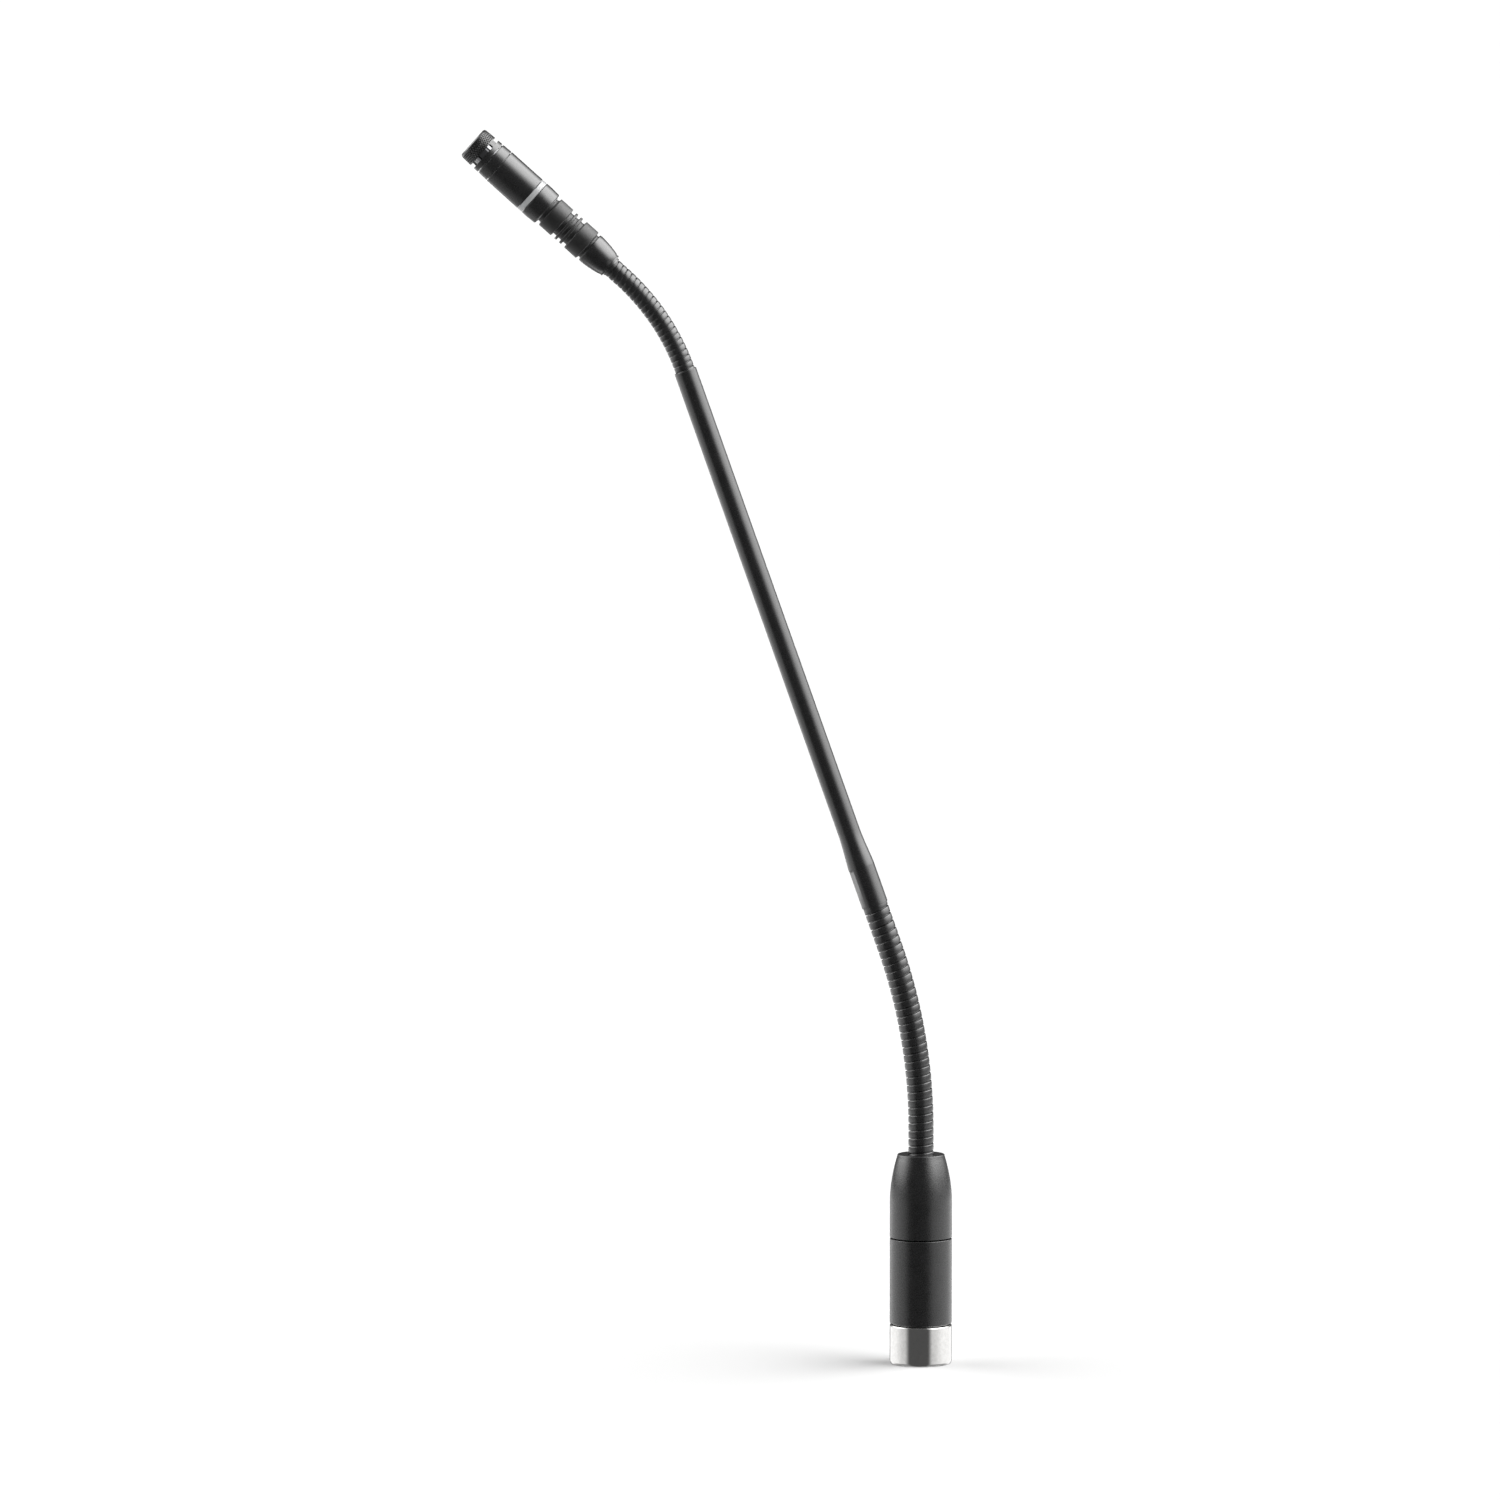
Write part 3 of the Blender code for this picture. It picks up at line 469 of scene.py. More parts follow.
def rounded(profile, closed):
    """Rounds each corner that has a third number, its radius, with a support point past each arc.

    Returns (radius, z, edge mark) points."""
    count = len(profile)
    out = []
    for i, corner in enumerate(profile):
        fillet = corner[2] if len(corner) > 2 else 0.0
        is_end = not closed and i in (0, count - 1)
        if is_end or fillet <= 0:
            out.append((corner[0], corner[1], 0.0))
            continue
        point = Vector(corner[:2])
        back = Vector(profile[i - 1][:2]) - point
        ahead = Vector(profile[(i + 1) % count][:2]) - point
        back_l, ahead_l = back.length, ahead.length
        back, ahead = back / back_l, ahead / ahead_l
        turn = math.acos(max(-1.0, min(1.0, back.dot(ahead))))
        if turn > math.pi - 0.03:
            out.append((corner[0], corner[1], 0.0))
            continue
        cut = min(fillet / math.tan(turn / 2), 0.45 * back_l, 0.45 * ahead_l)
        radius = cut * math.tan(turn / 2)
        centre = point + (back + ahead).normalized() * (radius / math.sin(turn / 2))
        start, stop = point + back * cut, point + ahead * cut
        swing = math.pi - turn
        steps = 2 if swing < 0.5 else 3 if swing < 1.0 else 4
        support = min(0.12, 0.3 * cut + 0.03)
        if back_l - cut > 3 * support:
            out.append((*(start + back * support), 0.0))
        for k in range(steps + 1):
            share = k / steps
            spoke = ((start - centre) * math.sin((1 - share) * swing)
                     + (stop - centre) * math.sin(share * swing)) / math.sin(swing)
            out.append((*(centre + spoke), 1.0))
        if ahead_l - cut > 3 * support:
            out.append((*(stop + ahead * support), 0.0))
    tidy = []
    for q in out:
        if tidy and abs(q[0] - tidy[-1][0]) < 1e-4 and abs(q[1] - tidy[-1][1]) < 1e-4:
            continue
        tidy.append(q)
    return tidy


def lathe_mesh(name, profile, slot, closed=True, segments=AROUND, shape=None, angle=38.0):
    """A turned mesh from (radius, z[, corner radius]) points.

    shape(r, z, phi) may return another radius for a point. An open profile ends on the axis."""
    verts, faces, marks, rings = [], [], [], []
    for r, z, mark in rounded(profile, closed):
        if r < 1e-5:
            rings.append([len(verts)] * segments)
            verts.append((0.0, 0.0, z * MM))
            marks.append(mark)
            continue
        row = []
        for k in range(segments):
            phi = 2 * math.pi * k / segments
            radius = shape(r, z, phi) if shape else r
            row.append(len(verts))
            verts.append((radius * math.cos(phi) * MM, radius * math.sin(phi) * MM, z * MM))
            marks.append(mark)
        rings.append(row)
    pairs = list(zip(rings, rings[1:]))
    if closed:
        pairs.append((rings[-1], rings[0]))
    for low, high in pairs:
        for k in range(segments):
            n = (k + 1) % segments
            # a dict drops the points that coincide on the axis and keeps the order
            face = list(dict.fromkeys((low[k], low[n], high[n], high[k])))
            if len(face) > 2:
                faces.append(face)
    mesh = closed_mesh(name, verts, faces)
    store(mesh, own_places(mesh), marks)
    mesh.materials.append(material(slot))
    shade(mesh, angle)
    return mesh


def lathe(name, slot, body, matrix, replaced, profile, **options):
    """A turned piece riding on one body."""
    obj = add_object(name, lathe_mesh(name, profile, slot, **options), matrix)
    soften(obj)
    attach(obj, body, replaced)
    return obj


def carve(obj, tool):
    """Cuts tool out of obj now, keeping the stored attributes, and removes the tool."""
    step = obj.modifiers.new("cut", "BOOLEAN")
    step.operation = "DIFFERENCE"
    step.solver = "EXACT"
    step.object = tool
    for other in [m for m in obj.modifiers if m.type == "WEIGHTED_NORMAL"]:
        obj.modifiers.remove(other)
    bpy.context.view_layer.update()
    graph = bpy.context.evaluated_depsgraph_get()
    mesh = bpy.data.meshes.new_from_object(
        obj.evaluated_get(graph), preserve_all_data_layers=True, depsgraph=graph)
    obj.modifiers.clear()
    obj.data = mesh
    places = [c for v in own_places(mesh) for c in v]
    mesh.attributes["loc"].data.foreach_set("vector", places)
    shade(mesh, 34.0)
    soften(obj)
    bpy.data.objects.remove(tool)


def drill(obj, name, slot, matrix, radius, top, bottom, segments):
    """Cuts a round hole along the matrix's Z axis."""
    profile = [(0, top), (radius, top), (radius, bottom), (0, bottom)]
    mesh = lathe_mesh(name, profile, slot, closed=False, segments=segments)
    carve(obj, add_object(name, mesh, matrix))


# ------------------------------------------------------------------ base


def plug():
    """Metal shell, the insulating insert inside it and the ring of contact pins."""
    lathe("shell_band", "shell_metal", "base", RIM, "plug_shell", [
        (7.9, 22.0), (8.15, 22.0, 0.08), (8.15, 12.05), (9.08, 12.05), (9.42, 11.9, 0.10),
        (BASE_R, 11.62, 0.08), (BASE_R, 0.75, 0.35), (9.22, 0.12, 0.30), (8.85, 0.0, 0.1),
        (8.35, 0.0, 0.12), (7.9, 0.45, 0.12),
    ], segments=144)
    insert = lathe("insert_nose", "insulator", "base", RIM, "plug_insert", [
        (0, 19.5), (7.2, 19.5, 0.1), (7.2, 17.0), (7.6, 17.0, 0.08), (7.6, 12.9, 0.08),
        (7.2, 12.5, 0.1), (6.2, 12.5, 0.08), (6.2, 12.72, 0.06), (0, 12.72),
    ], closed=False, segments=96)
    for i in range(CONTACTS):
        angle = math.radians(90 + 360 / CONTACTS * i)
        across = Vector((math.cos(angle), math.sin(angle), 0.0)) * CONTACT_CIRCLE_R
        at = RIM @ Matrix.Translation(across * MM)
        drill(insert, f"tool_pin_{i}", "insulator", at, 1.35, top=22.5, bottom=9.0, segments=32)
        lathe(f"pin_{i + 1}", "gold", "base", at, f"contact_pin_{i + 1}", [
            (0, 23.0), (0.7, 23.0, 0.12), (0.7, 19.2, 0.05), (1.15, 19.2, 0.08),
            (1.15, 3.3, 0.4), (0.72, 2.45, 0.4), (0, 2.2),
        ], closed=False, segments=32)


def lower_housing():
    lathe("housing_lower", "black_housing", "base", RIM, "lower_housing", [
        (8.4, JOINT_H - 0.2), (BASE_R, JOINT_H - 0.2, 0.16), (BASE_R, 12.62, 0.35),
        (BASE_R - 0.38, 12.22, 0.22), (8.4, 12.22),
    ], segments=144)


def upper_housing():
    """Housing narrowing to the nose, with a set screw in its back (+Y)."""
    nose = []
    for i in range(14, -1, -1):
        share = i / 14
        nose.append((BASE_R - (BASE_R - NOSE_R) * share**1.8,
                     NOSE_H + (NOSE_TOP_H - 0.42 - NOSE_H) * share))
    housing = lathe("housing_upper", "black_housing", "base", RIM, "upper_housing", [
        (4.08, NOSE_TOP_H - 0.02, 0.12), (NOSE_R - 0.08, NOSE_TOP_H, 0.42), *nose,
        (BASE_R, JOINT_H + 0.2, 0.16), (8.3, JOINT_H + 0.2), (8.3, 49.0), (5.9, 49.6),
        (5.9, 61.6), (4.08, 61.6),
    ], segments=144)
    side = RIM @ Matrix.Translation((0, 0, SCREW_H * MM))
    side = side @ Matrix.Rotation(math.radians(-90), 4, "X")
    drill(housing, "tool_screw", "steel", side, 1.62, top=14.0, bottom=4.0, segments=40)
    lathe("set_screw", "steel", "base", side, "anchor_set_screw", [
        (0, 7.4), (0.80, 7.4), (0.80, 8.55, 0.03), (1.42, 8.55, 0.12), (1.42, 6.0, 0.1),
        (1.05, 5.6, 0.1), (0, 5.6),
    ], closed=False, segments=48, shape=hexagon_socket)


def hexagon_socket(r, z, phi):
    """Makes the wall of the screw's socket six-sided."""
    if r < 0.9 and z > 7.0:
        return r * math.cos(math.pi / 6) / math.cos((phi % (math.pi / 3)) - math.pi / 6)
    return r


def anchor_bush():
    lathe("anchor_bush", "brass", "base", RIM, "neck_anchor", [
        (4.02, 62.0), (5.45, 61.5, 0.1), (5.45, 52.6, 0.1), (3.0, 51.0), (1.5, 51.0),
        (1.5, 60.4), (4.02, 60.4),
    ], segments=64)


# ------------------------------------------------------------------ rigid tube


def from_crimp(phi):
    """Signed angle from the middle of the pressed flat."""
    return (phi - CRIMP + math.pi) % (2 * math.pi) - math.pi


def clamped(value):
    return min(1.0, max(0.0, value))


def crimped(r, z, phi):
    """A flat pressed into one side of the flare, deepest near its upper end; the bore follows."""
    off = from_crimp(phi)
    if r < 3.8 or z > 13.2 or abs(off) > CRIMP_HALF:
        return r
    start = clamped((z - 0.4) / 0.5) * 0.35
    deepen = clamped((z - 2.5) / 4.0) * 0.65
    stop = clamped((FLARE_S - z) / 0.9)
    flat = FLARE_R * math.cos(CRIMP_HALF) / math.cos(off)
    return r - (FLARE_R - flat) * (start + deepen) * stop


def flare_line():
    """The flare narrows quickly at first, then slowly; listed from its upper end down."""
    points = []
    for i in range(16, -1, -1):
        z = FLARE_S + 0.2 + (FLARE_EASE_L - 0.2) * i / 16
        share = (z - FLARE_S) / FLARE_EASE_L
        eased = (1.0 - share) ** 2.0 * (1.0 + 1.1 * share)
        points.append((TUBE_R + (FLARE_R - TUBE_R) * eased, z))
    return points


def rigid_tube():
    outside_z = (12.6, 12.3, 12.0, 11.7, 9.0, 6.5, 5.0, 3.5, 2.5, 0.9, 0.4)
    bore_z = (0.4, 0.9, 2.5, 6.5, 11.7, 12.6)
    tube = lathe("tube", "black_metal", "tube", TUBE, "neck_tube", [
        (TUBE_BORE_R, TUBE_L, 0.05), (TUBE_R, TUBE_L, 0.11), *flare_line(),
        *((FLARE_R, z) for z in outside_z), (FLARE_R, 0.0, 0.16),
        (FLARE_BORE_R, 0.0, 0.05), *((FLARE_BORE_R, z) for z in bore_z), (TUBE_BORE_R, 17.0),
    ], segments=160, shape=crimped, angle=26.0)
    # the two long edges of the flat take the lighter worn-edge colour: partly wear, partly a painted highlight
    # line along each edge
    wear_and_highlight_edges = tube.data.attributes["edge"]
    for v in tube.data.vertices:
        off = from_crimp(math.atan2(v.co.y, v.co.x))
        on_outside = math.hypot(v.co.x, v.co.y) * 1000 > 3.95
        on_edge = abs(abs(off) - CRIMP_HALF) < math.radians(1.7)
        if 0.6 < v.co.z * 1000 < 12.4 and on_outside and on_edge:
            wear_and_highlight_edges.data[v.index].value = 1.0
    lathe("tube_bush_low", "brass", "tube", TUBE, "lower_sleeve",
          [(1.5, 12.5), (3.5, 12.5, 0.1), (3.5, 4.6, 0.1), (1.5, 4.6)], segments=48)
    lathe("tube_bush_high", "brass", "tube", place(UPPER_S), "upper_sleeve",
          [(1.5, -4.2), (2.85, -4.2, 0.1), (2.85, -11.0, 0.1), (1.5, -11.0)], segments=48)


# ------------------------------------------------------------------ wound goosenecks


class Coil(NamedTuple):
    pitch: float
    outer: float  # radii of the band and of the liner tube that shows in its gaps
    inner: float
    liner: float
    gap: float  # between neighbouring turns
    shoulder: float  # rounding of the band's outer edges
    per_turn: int  # sections per turn


def on_neck(s, start, end, r=0.0, phi=0.0):
    """Point at station s, radius r and angle phi; past either end the line runs straight on."""
    held = min(max(s, start), end)
    matrix = place(held)
    turn = matrix.to_3x3()
    centre = matrix.translation / MM + turn @ Vector((0, 0, s - held))
    across = turn @ Vector((1, 0, 0)) * math.cos(phi) + turn @ Vector((0, 1, 0)) * math.sin(phi)
    return (centre + across * r) * MM


def band_section(coil):
    """(radius, offset along the neck, edge mark) round one turn of the band."""
    half = (coil.pitch - coil.gap) / 2
    outer, shoulder = coil.outer, coil.shoulder
    points = [(coil.inner, -half, 0.0), (outer - shoulder * 1.15, -half, 0.0)]
    steps = 5
    for k in range(steps + 1):
        angle = math.pi / 2 * k / steps
        points.append((outer - shoulder * (1 - math.sin(angle)),
                       -half + shoulder * (1 - math.cos(angle)),
                       1.0 if 0 < k < steps else 0.5))
    crown = [(outer + 0.025, 0.0, 0.0)]
    return points + crown + [(r, -v, mark) for r, v, mark in points[::-1]]


def winding(name, start, end, low, high, coil):
    """One closed helical band from station low to high, with its liner."""
    verts, faces, places, marks = [], [], [], []

    def add_point(r, s, phi, mark):
        verts.append(on_neck(s, start, end, r, phi))
        places.append((r * math.cos(phi), r * math.sin(phi), s))
        marks.append(mark)
        return len(verts) - 1

    def skin(rows):
        for a, b in zip(rows, rows[1:]):
            for k in range(len(a)):
                n = (k + 1) % len(a)
                faces.append((a[k], a[n], b[n], b[k]))

    section = band_section(coil)
    count = round((high - low) / coil.pitch * coil.per_turn)
    rows = []
    for i in range(count + 1):
        s = low + (high - low) * i / count
        phi = 2 * math.pi * (s - start) / coil.pitch
        rows.append([add_point(r, s + v, phi, mark) for r, v, mark in section])
    skin(rows)
    faces.append(tuple(rows[0][::-1]))
    faces.append(tuple(rows[-1]))

    # liner: a closed thin tube under the winding
    around, steps = 40, max(6, int((high - low) / 0.9))
    rings = []
    for r in (coil.liner, coil.liner - 0.5):
        for i in range(steps + 1):
            s = low - 0.35 + (high - low + 0.7) * i / steps
            rings.append([add_point(r, s, 2 * math.pi * k / around, 0.0) for k in range(around)])
    outside, inside = rings[:steps + 1], rings[steps + 1:][::-1]
    skin(outside + inside + outside[:1])

    mesh = closed_mesh(name, verts, faces)
    store(mesh, places, marks)
    mesh.materials.append(material("black_flex"))
    shade(mesh, 40.0)
    return add_object(name, mesh)


# These pieces take their two bodies and their two ends the other way round.
TAKEN_BACKWARDS = {"lower_winding_11", "upper_winding_01", "isolator_rear"}


def bend_across(obj, a, b, start, end):
    """Bakes the piece's placement into its mesh; it is not bent, and bodies a and b and the span from start to end
    are not used.
    """
    if obj.name in TAKEN_BACKWARDS:
        a, b, start, end = b, a, end, start
    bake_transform(obj)


def gooseneck(prefix, start, length, hinges, first, last, reach, coil):
    """A winding piece per hinge, between the two links beside it; the pieces are not bent or attached to the
    links.

    reach is how far the first and last pieces run into what holds the neck."""
    end, span = start + length, length / hinges
    bodies = [first] + [f"{prefix}_link_{k:02d}" for k in range(1, hinges)] + [last]
    for k in range(hinges):
        middle = start + (k + 0.5) * span
        bend_low, bend_high = middle - span / 2, middle + span / 2
        low = bend_low - (reach[0] if k == 0 else 0.0)
        high = bend_high + (reach[1] if k == hinges - 1 else 0.0)
        obj = winding(f"{prefix}_winding_{k + 1:02d}", start, end, low, high, coil)
        bend_across(obj, bodies[k], bodies[k + 1],
                    on_neck(bend_low, start, end), on_neck(bend_high, start, end))
        if k < hinges - 1:
            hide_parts(f"{prefix}_flex_{k + 1:02d}")


LOWER_COIL = Coil(pitch=LOWER_L / 33, outer=3.83, inner=2.95, liner=3.32, gap=0.26,
                  shoulder=0.30, per_turn=56)
UPPER_COIL = Coil(pitch=UPPER_L / 22, outer=3.03, inner=2.3, liner=2.58, gap=0.20,
                  shoulder=0.20, per_turn=48)

# ------------------------------------------------------------------ ferrule and rubber isolator


def ferrule():
    """Brass core, widening cone, and the collar where the winding enters."""
    lathe("ferrule_core", "brass", "ferrule", HEAD, "ferrule_bush", [
        (1.2, CONE_L + 4.4), (1.95, CONE_L + 4.4, 0.1), (1.95, CONE_L - 1.5),
        (2.9, CONE_L - 1.5, 0.08), (2.9, 3.4, 0.08), (1.5, 3.4), (1.2, 3.6),
    ], segments=48)
    taper = [(3.78 + 1.22 * math.sin(i / 12 * math.pi / 2) ** 0.85, CONE_L * i / 12)
             for i in range(11, 1, -1)]
    lathe("ferrule_cone", "black_metal", "ferrule", HEAD, "cone_ferrule", [
        (4.24, CONE_L, 0.03), (4.5, CONE_L, 0.05), (4.54, CONE_L - 0.14, 0.03),
        (4.94, CONE_L - 0.14, 0.13), *taper, (3.80, 0.52, 0.05), (3.92, 0.45, 0.05),
        (3.92, 0.0, 0.08), (3.15, 0.0, 0.06), (3.15, CONE_L - 1.3), (4.24, CONE_L - 0.9),
    ], segments=128)
    lathe("ferrule_collar", "black_metal", "ferrule", HEAD, None, [
        (3.02, -0.75, 0.04), (3.02, 0.9), (3.14, 0.9), (3.12, 0.02), (3.24, 0.02, 0.04),
        (3.24, -0.62, 0.1),
    ], segments=96)


def fine_rings(profile, step=0.9):
    """Adds points along straight runs, so that the rubber can bend."""
    out = []
    for i, p in enumerate(profile):
        out.append(p)
        q = profile[(i + 1) % len(profile)]
        gap = math.hypot(q[0] - p[0], q[1] - p[1])
        if gap > 2.2:
            inner = int(gap / step)
            for k in range(1, inner):
                share = 0.12 + 0.76 * (k - 0.5) / (inner - 1)
                out.append((p[0] + (q[0] - p[0]) * share, p[1] + (q[1] - p[1]) * share))
    return out


def rubber(name, body_a, body_b, start, end, profile):
    """A rubber piece on the head; it is not bent, and the two bodies and the stations start and end are not used.
    """
    mesh = lathe_mesh(name, fine_rings(profile), "black_rubber", segments=128)
    obj = add_object(name, mesh, HEAD)
    soften(obj)
    bend_across(obj, body_a, body_b,
                HEAD @ Vector((0, 0, start * MM)), HEAD @ Vector((0, 0, end * MM)))
    return obj


def isolator():
    """Two wide rubber bands with two narrow ribs between them, split at the middle."""
    start, middle, end = ISO_START, ISO_MIDDLE, ISO_END
    rear = rubber("isolator_rear", "ferrule", "isolator", CONE_L, middle - 2.0, [
        (3.0, middle), (4.1, middle), (4.1, end - 8.55, 0.12), (5.1, end - 8.62, 0.13),
        (5.1, end - 9.43, 0.13), (4.1, end - 9.5, 0.12), (4.1, end - 10.7, 0.15),
        (5.18, end - 10.82, 0.24), (5.2, start + 0.3, 0.26), (4.4, start + 0.12, 0.08),
        (4.25, start - 0.05, 0.05), (4.2, CONE_L - 0.1), (3.0, CONE_L - 0.1),
    ])
    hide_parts("rubber_isolator")
    rubber("isolator_front", "isolator", "head", middle + 2.0, BARREL_S, [
        (3.0, BARREL_S + 0.3), (4.2, BARREL_S + 0.3), (4.25, end - 0.1, 0.05),
        (4.4, end - 0.42, 0.08), (5.2, end - 0.5, 0.26), (5.18, end - 5.36, 0.26),
        (4.1, end - 5.48, 0.15), (4.1, end - 6.7, 0.12), (5.1, end - 6.76, 0.13),
        (5.1, end - 7.5, 0.13), (4.1, end - 7.56, 0.12), (4.1, middle), (3.0, middle),
    ])


# ------------------------------------------------------------------ head


def barrels():
    """Rear barrel, light ring and main barrel."""
    lathe("barrel_rear", "black_metal", "head", HEAD, "rear_barrel", [
        (4.6, RING_START - 0.06), (HEAD_R - 0.02, RING_START - 0.06, 0.14),
        (HEAD_R - 0.02, BARREL_S + 3.4, 0.4), (5.62, BARREL_S + 0.42, 0.10),
        (5.34, BARREL_S + 0.16, 0.06), (4.62, BARREL_S + 0.16, 0.04), (4.62, BARREL_S, 0.04),
        (4.24, BARREL_S, 0.03), (4.24, BARREL_S + 1.2), (4.4, BARREL_S + 1.4),
        (4.6, BARREL_S + 1.8),
    ])
    lathe("ring_light", "light_plastic", "head", HEAD, "light_ring", [
        (5.1, RING_END - 0.07), (HEAD_R - 0.06, RING_END - 0.07, 0.10),
        (HEAD_R - 0.06, RING_START + 0.07, 0.10), (5.1, RING_START + 0.07),
    ], segments=144)
    lathe("barrel_main", "black_metal", "head", HEAD, "head_barrel", [
        (5.2, JOINT_S - 0.1), (HEAD_R - 0.05, JOINT_S - 0.1, 0.12),
        (HEAD_R - 0.03, RING_END + 0.06, 0.14), (4.95, RING_END + 0.06),
        (4.95, RING_END + 5.5), (5.2, RING_END + 5.7),
    ])


def capsule():
    """Capsule barrel, the seal in its groove, the drawn can and its clamp ring."""
    joint = JOINT_S
    lathe("capsule_barrel", "black_metal", "capsule", HEAD, "capsule_housing", [
        (4.35, CAP_S), (5.2, CAP_S), (5.2, CAP_S - 0.25), (5.60, CAP_S - 0.28, 0.10),
        (HEAD_R - 0.07, joint + 0.1, 0.12), (4.95, joint + 0.1), (4.95, joint - 1.7, 0.08),
        (4.5, joint - 1.7), (4.5, joint - 2.9), (4.95, joint - 2.9, 0.08),
        (4.95, joint - 4.6, 0.15), (3.9, joint - 4.6), (3.9, joint + 1.2), (4.35, joint + 1.4),
    ])
    turns = [math.radians(degrees) for degrees in range(0, 360, 20)]
    lathe("seal_o_ring", "seal", "seal", HEAD, "seal_ring", [
        (4.82 + 0.399 * math.cos(turn), joint - 2.3 + 0.40 * math.sin(turn)) for turn in turns
    ], segments=96)
    lathe("capsule_can", "can", "capsule", HEAD, "condenser_capsule", [
        (0.9, joint + 7.3), (4.1, joint + 7.3, 0.15), (4.1, joint + 6.95, 0.1),
        (3.3, joint + 6.9, 0.1), (3.3, joint + 4.7, 0.1), (4.1, joint + 4.6, 0.2),
        (4.1, joint + 2.0), (3.85, joint + 2.0), (3.85, joint + 4.4), (3.05, joint + 4.4),
        (3.05, joint + 7.0), (0.9, joint + 7.0),
    ], segments=96)
    lathe("clamp_ring", "brass", "capsule", HEAD, "capsule_clamp_ring", [
        (2.9, joint + 8.1, 0.1), (4.2, joint + 8.1, 0.15), (4.2, joint + 7.4, 0.1),
        (2.9, joint + 7.4, 0.1),
    ], segments=96)


DIMPLES = 44  # per row
DIMPLE_STEP = 0.62
DIMPLE_ROWS = [SLOT_HIGH + DIMPLE_STEP + DIMPLE_STEP * k for k in range(5)]
DIMPLE_R, DIMPLE_DEPTH = 0.27, 0.26


def dimpled(r, z, phi):
    """Small radial dimples in offset rows on the cap's side."""
    if r < 5.0 or z < SLOT_HIGH + 0.25 or z > FACE_S - 0.55:
        return r
    for row, s in enumerate(DIMPLE_ROWS):
        k = phi / (2 * math.pi) * DIMPLES - 0.5 * (row % 2)
        across = (k - round(k)) * 2 * math.pi / DIMPLES * 5.5
        far = math.hypot(across, z - s)
        if far < DIMPLE_R:
            return r - DIMPLE_DEPTH * (1 - (far / DIMPLE_R) ** 4)
    return r


def front_cap():
    """Cap at the head's free end: a collar, a slot crossed by posts, and a dimpled rim."""
    steps = 34
    side = []
    for i in range(steps, -1, -1):
        s = SLOT_HIGH + 0.25 + (FACE_S - 0.85 - SLOT_HIGH - 0.25) * i / steps
        side.append((5.56 - 0.09 * ((s - SLOT_HIGH) / (FACE_S - 1.2 - SLOT_HIGH)) ** 1.6, s))
    cap = lathe("cap", "black_metal", "capsule", HEAD, "front_cap", [
        (4.3, FACE_S - 0.02, 0.03), (4.84, FACE_S, 0.10), (5.24, FACE_S - 0.28, 0.14), *side,
        (5.58, SLOT_HIGH + 0.12), (5.60, SLOT_LOW - 0.1), (5.62, CAP_S + 0.62),
        (5.62, CAP_S + 0.36, 0.05), (5.55, CAP_S + 0.12, 0.05), (4.35, CAP_S + 0.12),
        (4.35, CAP_S + 0.7), (4.75, CAP_S + 0.9), (4.75, FACE_S - 1.6), (4.3, FACE_S - 1.4),
    ], segments=352, shape=dimpled)
    for i in range(POSTS):
        carve(cap, slot_tool(i))


def slot_tool(i):
    """A block that opens the slot between two posts."""
    width = 7.0
    mesh = bpy.data.meshes.new(f"tool_slot_{i}")
    work = bmesh.new()
    bmesh.ops.create_cube(work, size=1.0)
    size = Vector((width, width, SLOT_HIGH - SLOT_LOW)) * MM
    bmesh.ops.scale(work, vec=size, verts=work.verts)
    upright = [e for e in work.edges if abs(e.verts[0].co.z - e.verts[1].co.z) > 1e-6]
    bmesh.ops.bevel(work, geom=upright, offset=0.25 * MM, segments=3, affect="EDGES", profile=0.5)
    work.to_mesh(mesh)
    work.free()
    mesh.materials.append(material("black_metal"))
    turn = HEAD @ Matrix.Rotation(math.radians(POST_TURN + 360.0 / POSTS * i), 4, "Z")
    middle = (POST_W + width) / 2
    shift = Vector((middle, middle, (SLOT_LOW + SLOT_HIGH) / 2)) * MM
    return add_object(f"tool_slot_{i}", mesh, turn @ Matrix.Translation(shift))


def face_plate():
    """Round plate with a triangular grid of small blind holes pressed into it."""
    plate_r, top, bottom = 4.25, FACE_S - 0.25, FACE_S - 0.75
    pitch, hole_r, hole_depth = 0.78, 0.26, 0.36
    rings, spokes = ((62, 240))
    holes = []
    for row in range(-7, 8):
        for column in range(-7, 8):
            x = (column + 0.5 * (row % 2)) * pitch
            y = row * pitch * math.sqrt(3) / 2
            if math.hypot(x, y) < 3.85:
                holes.append((x, y))

    def sunk(x, y):
        near = min(math.hypot(x - hole_x, y - hole_y) for hole_x, hole_y in holes)
        return -hole_depth * (1 - (near / hole_r) ** 6) if near < hole_r else 0.0

    verts = [Vector((0, 0, top + sunk(0.0, 0.0))) * MM]
    rows = []
    # the last ring is the lower edge of the rim
    for i in range(1, rings + 2):
        r = plate_r * min(i, rings) / rings
        rows.append(range(len(verts), len(verts) + spokes))
        for k in range(spokes):
            phi = 2 * math.pi * k / spokes
            x, y = r * math.cos(phi), r * math.sin(phi)
            z = bottom if i > rings else top + (sunk(x, y) if r < 4.1 else 0.0)
            verts.append(Vector((x, y, z)) * MM)
    faces = [(0, rows[0][k], rows[0][(k + 1) % spokes]) for k in range(spokes)]
    for a, b in zip(rows, rows[1:]):
        for k in range(spokes):
            n = (k + 1) % spokes
            faces.append((a[k], b[k], b[n], a[n]))
    faces.append(tuple(rows[-1][::-1]))
    mesh = closed_mesh("face_plate", verts, faces)
    store(mesh, own_places(mesh), [0.0] * len(verts))
    mesh.materials.append(material("black_mesh"))
    shade(mesh, 50.0)
    attach(add_object("face_plate", mesh, HEAD), "capsule", "front_mesh")


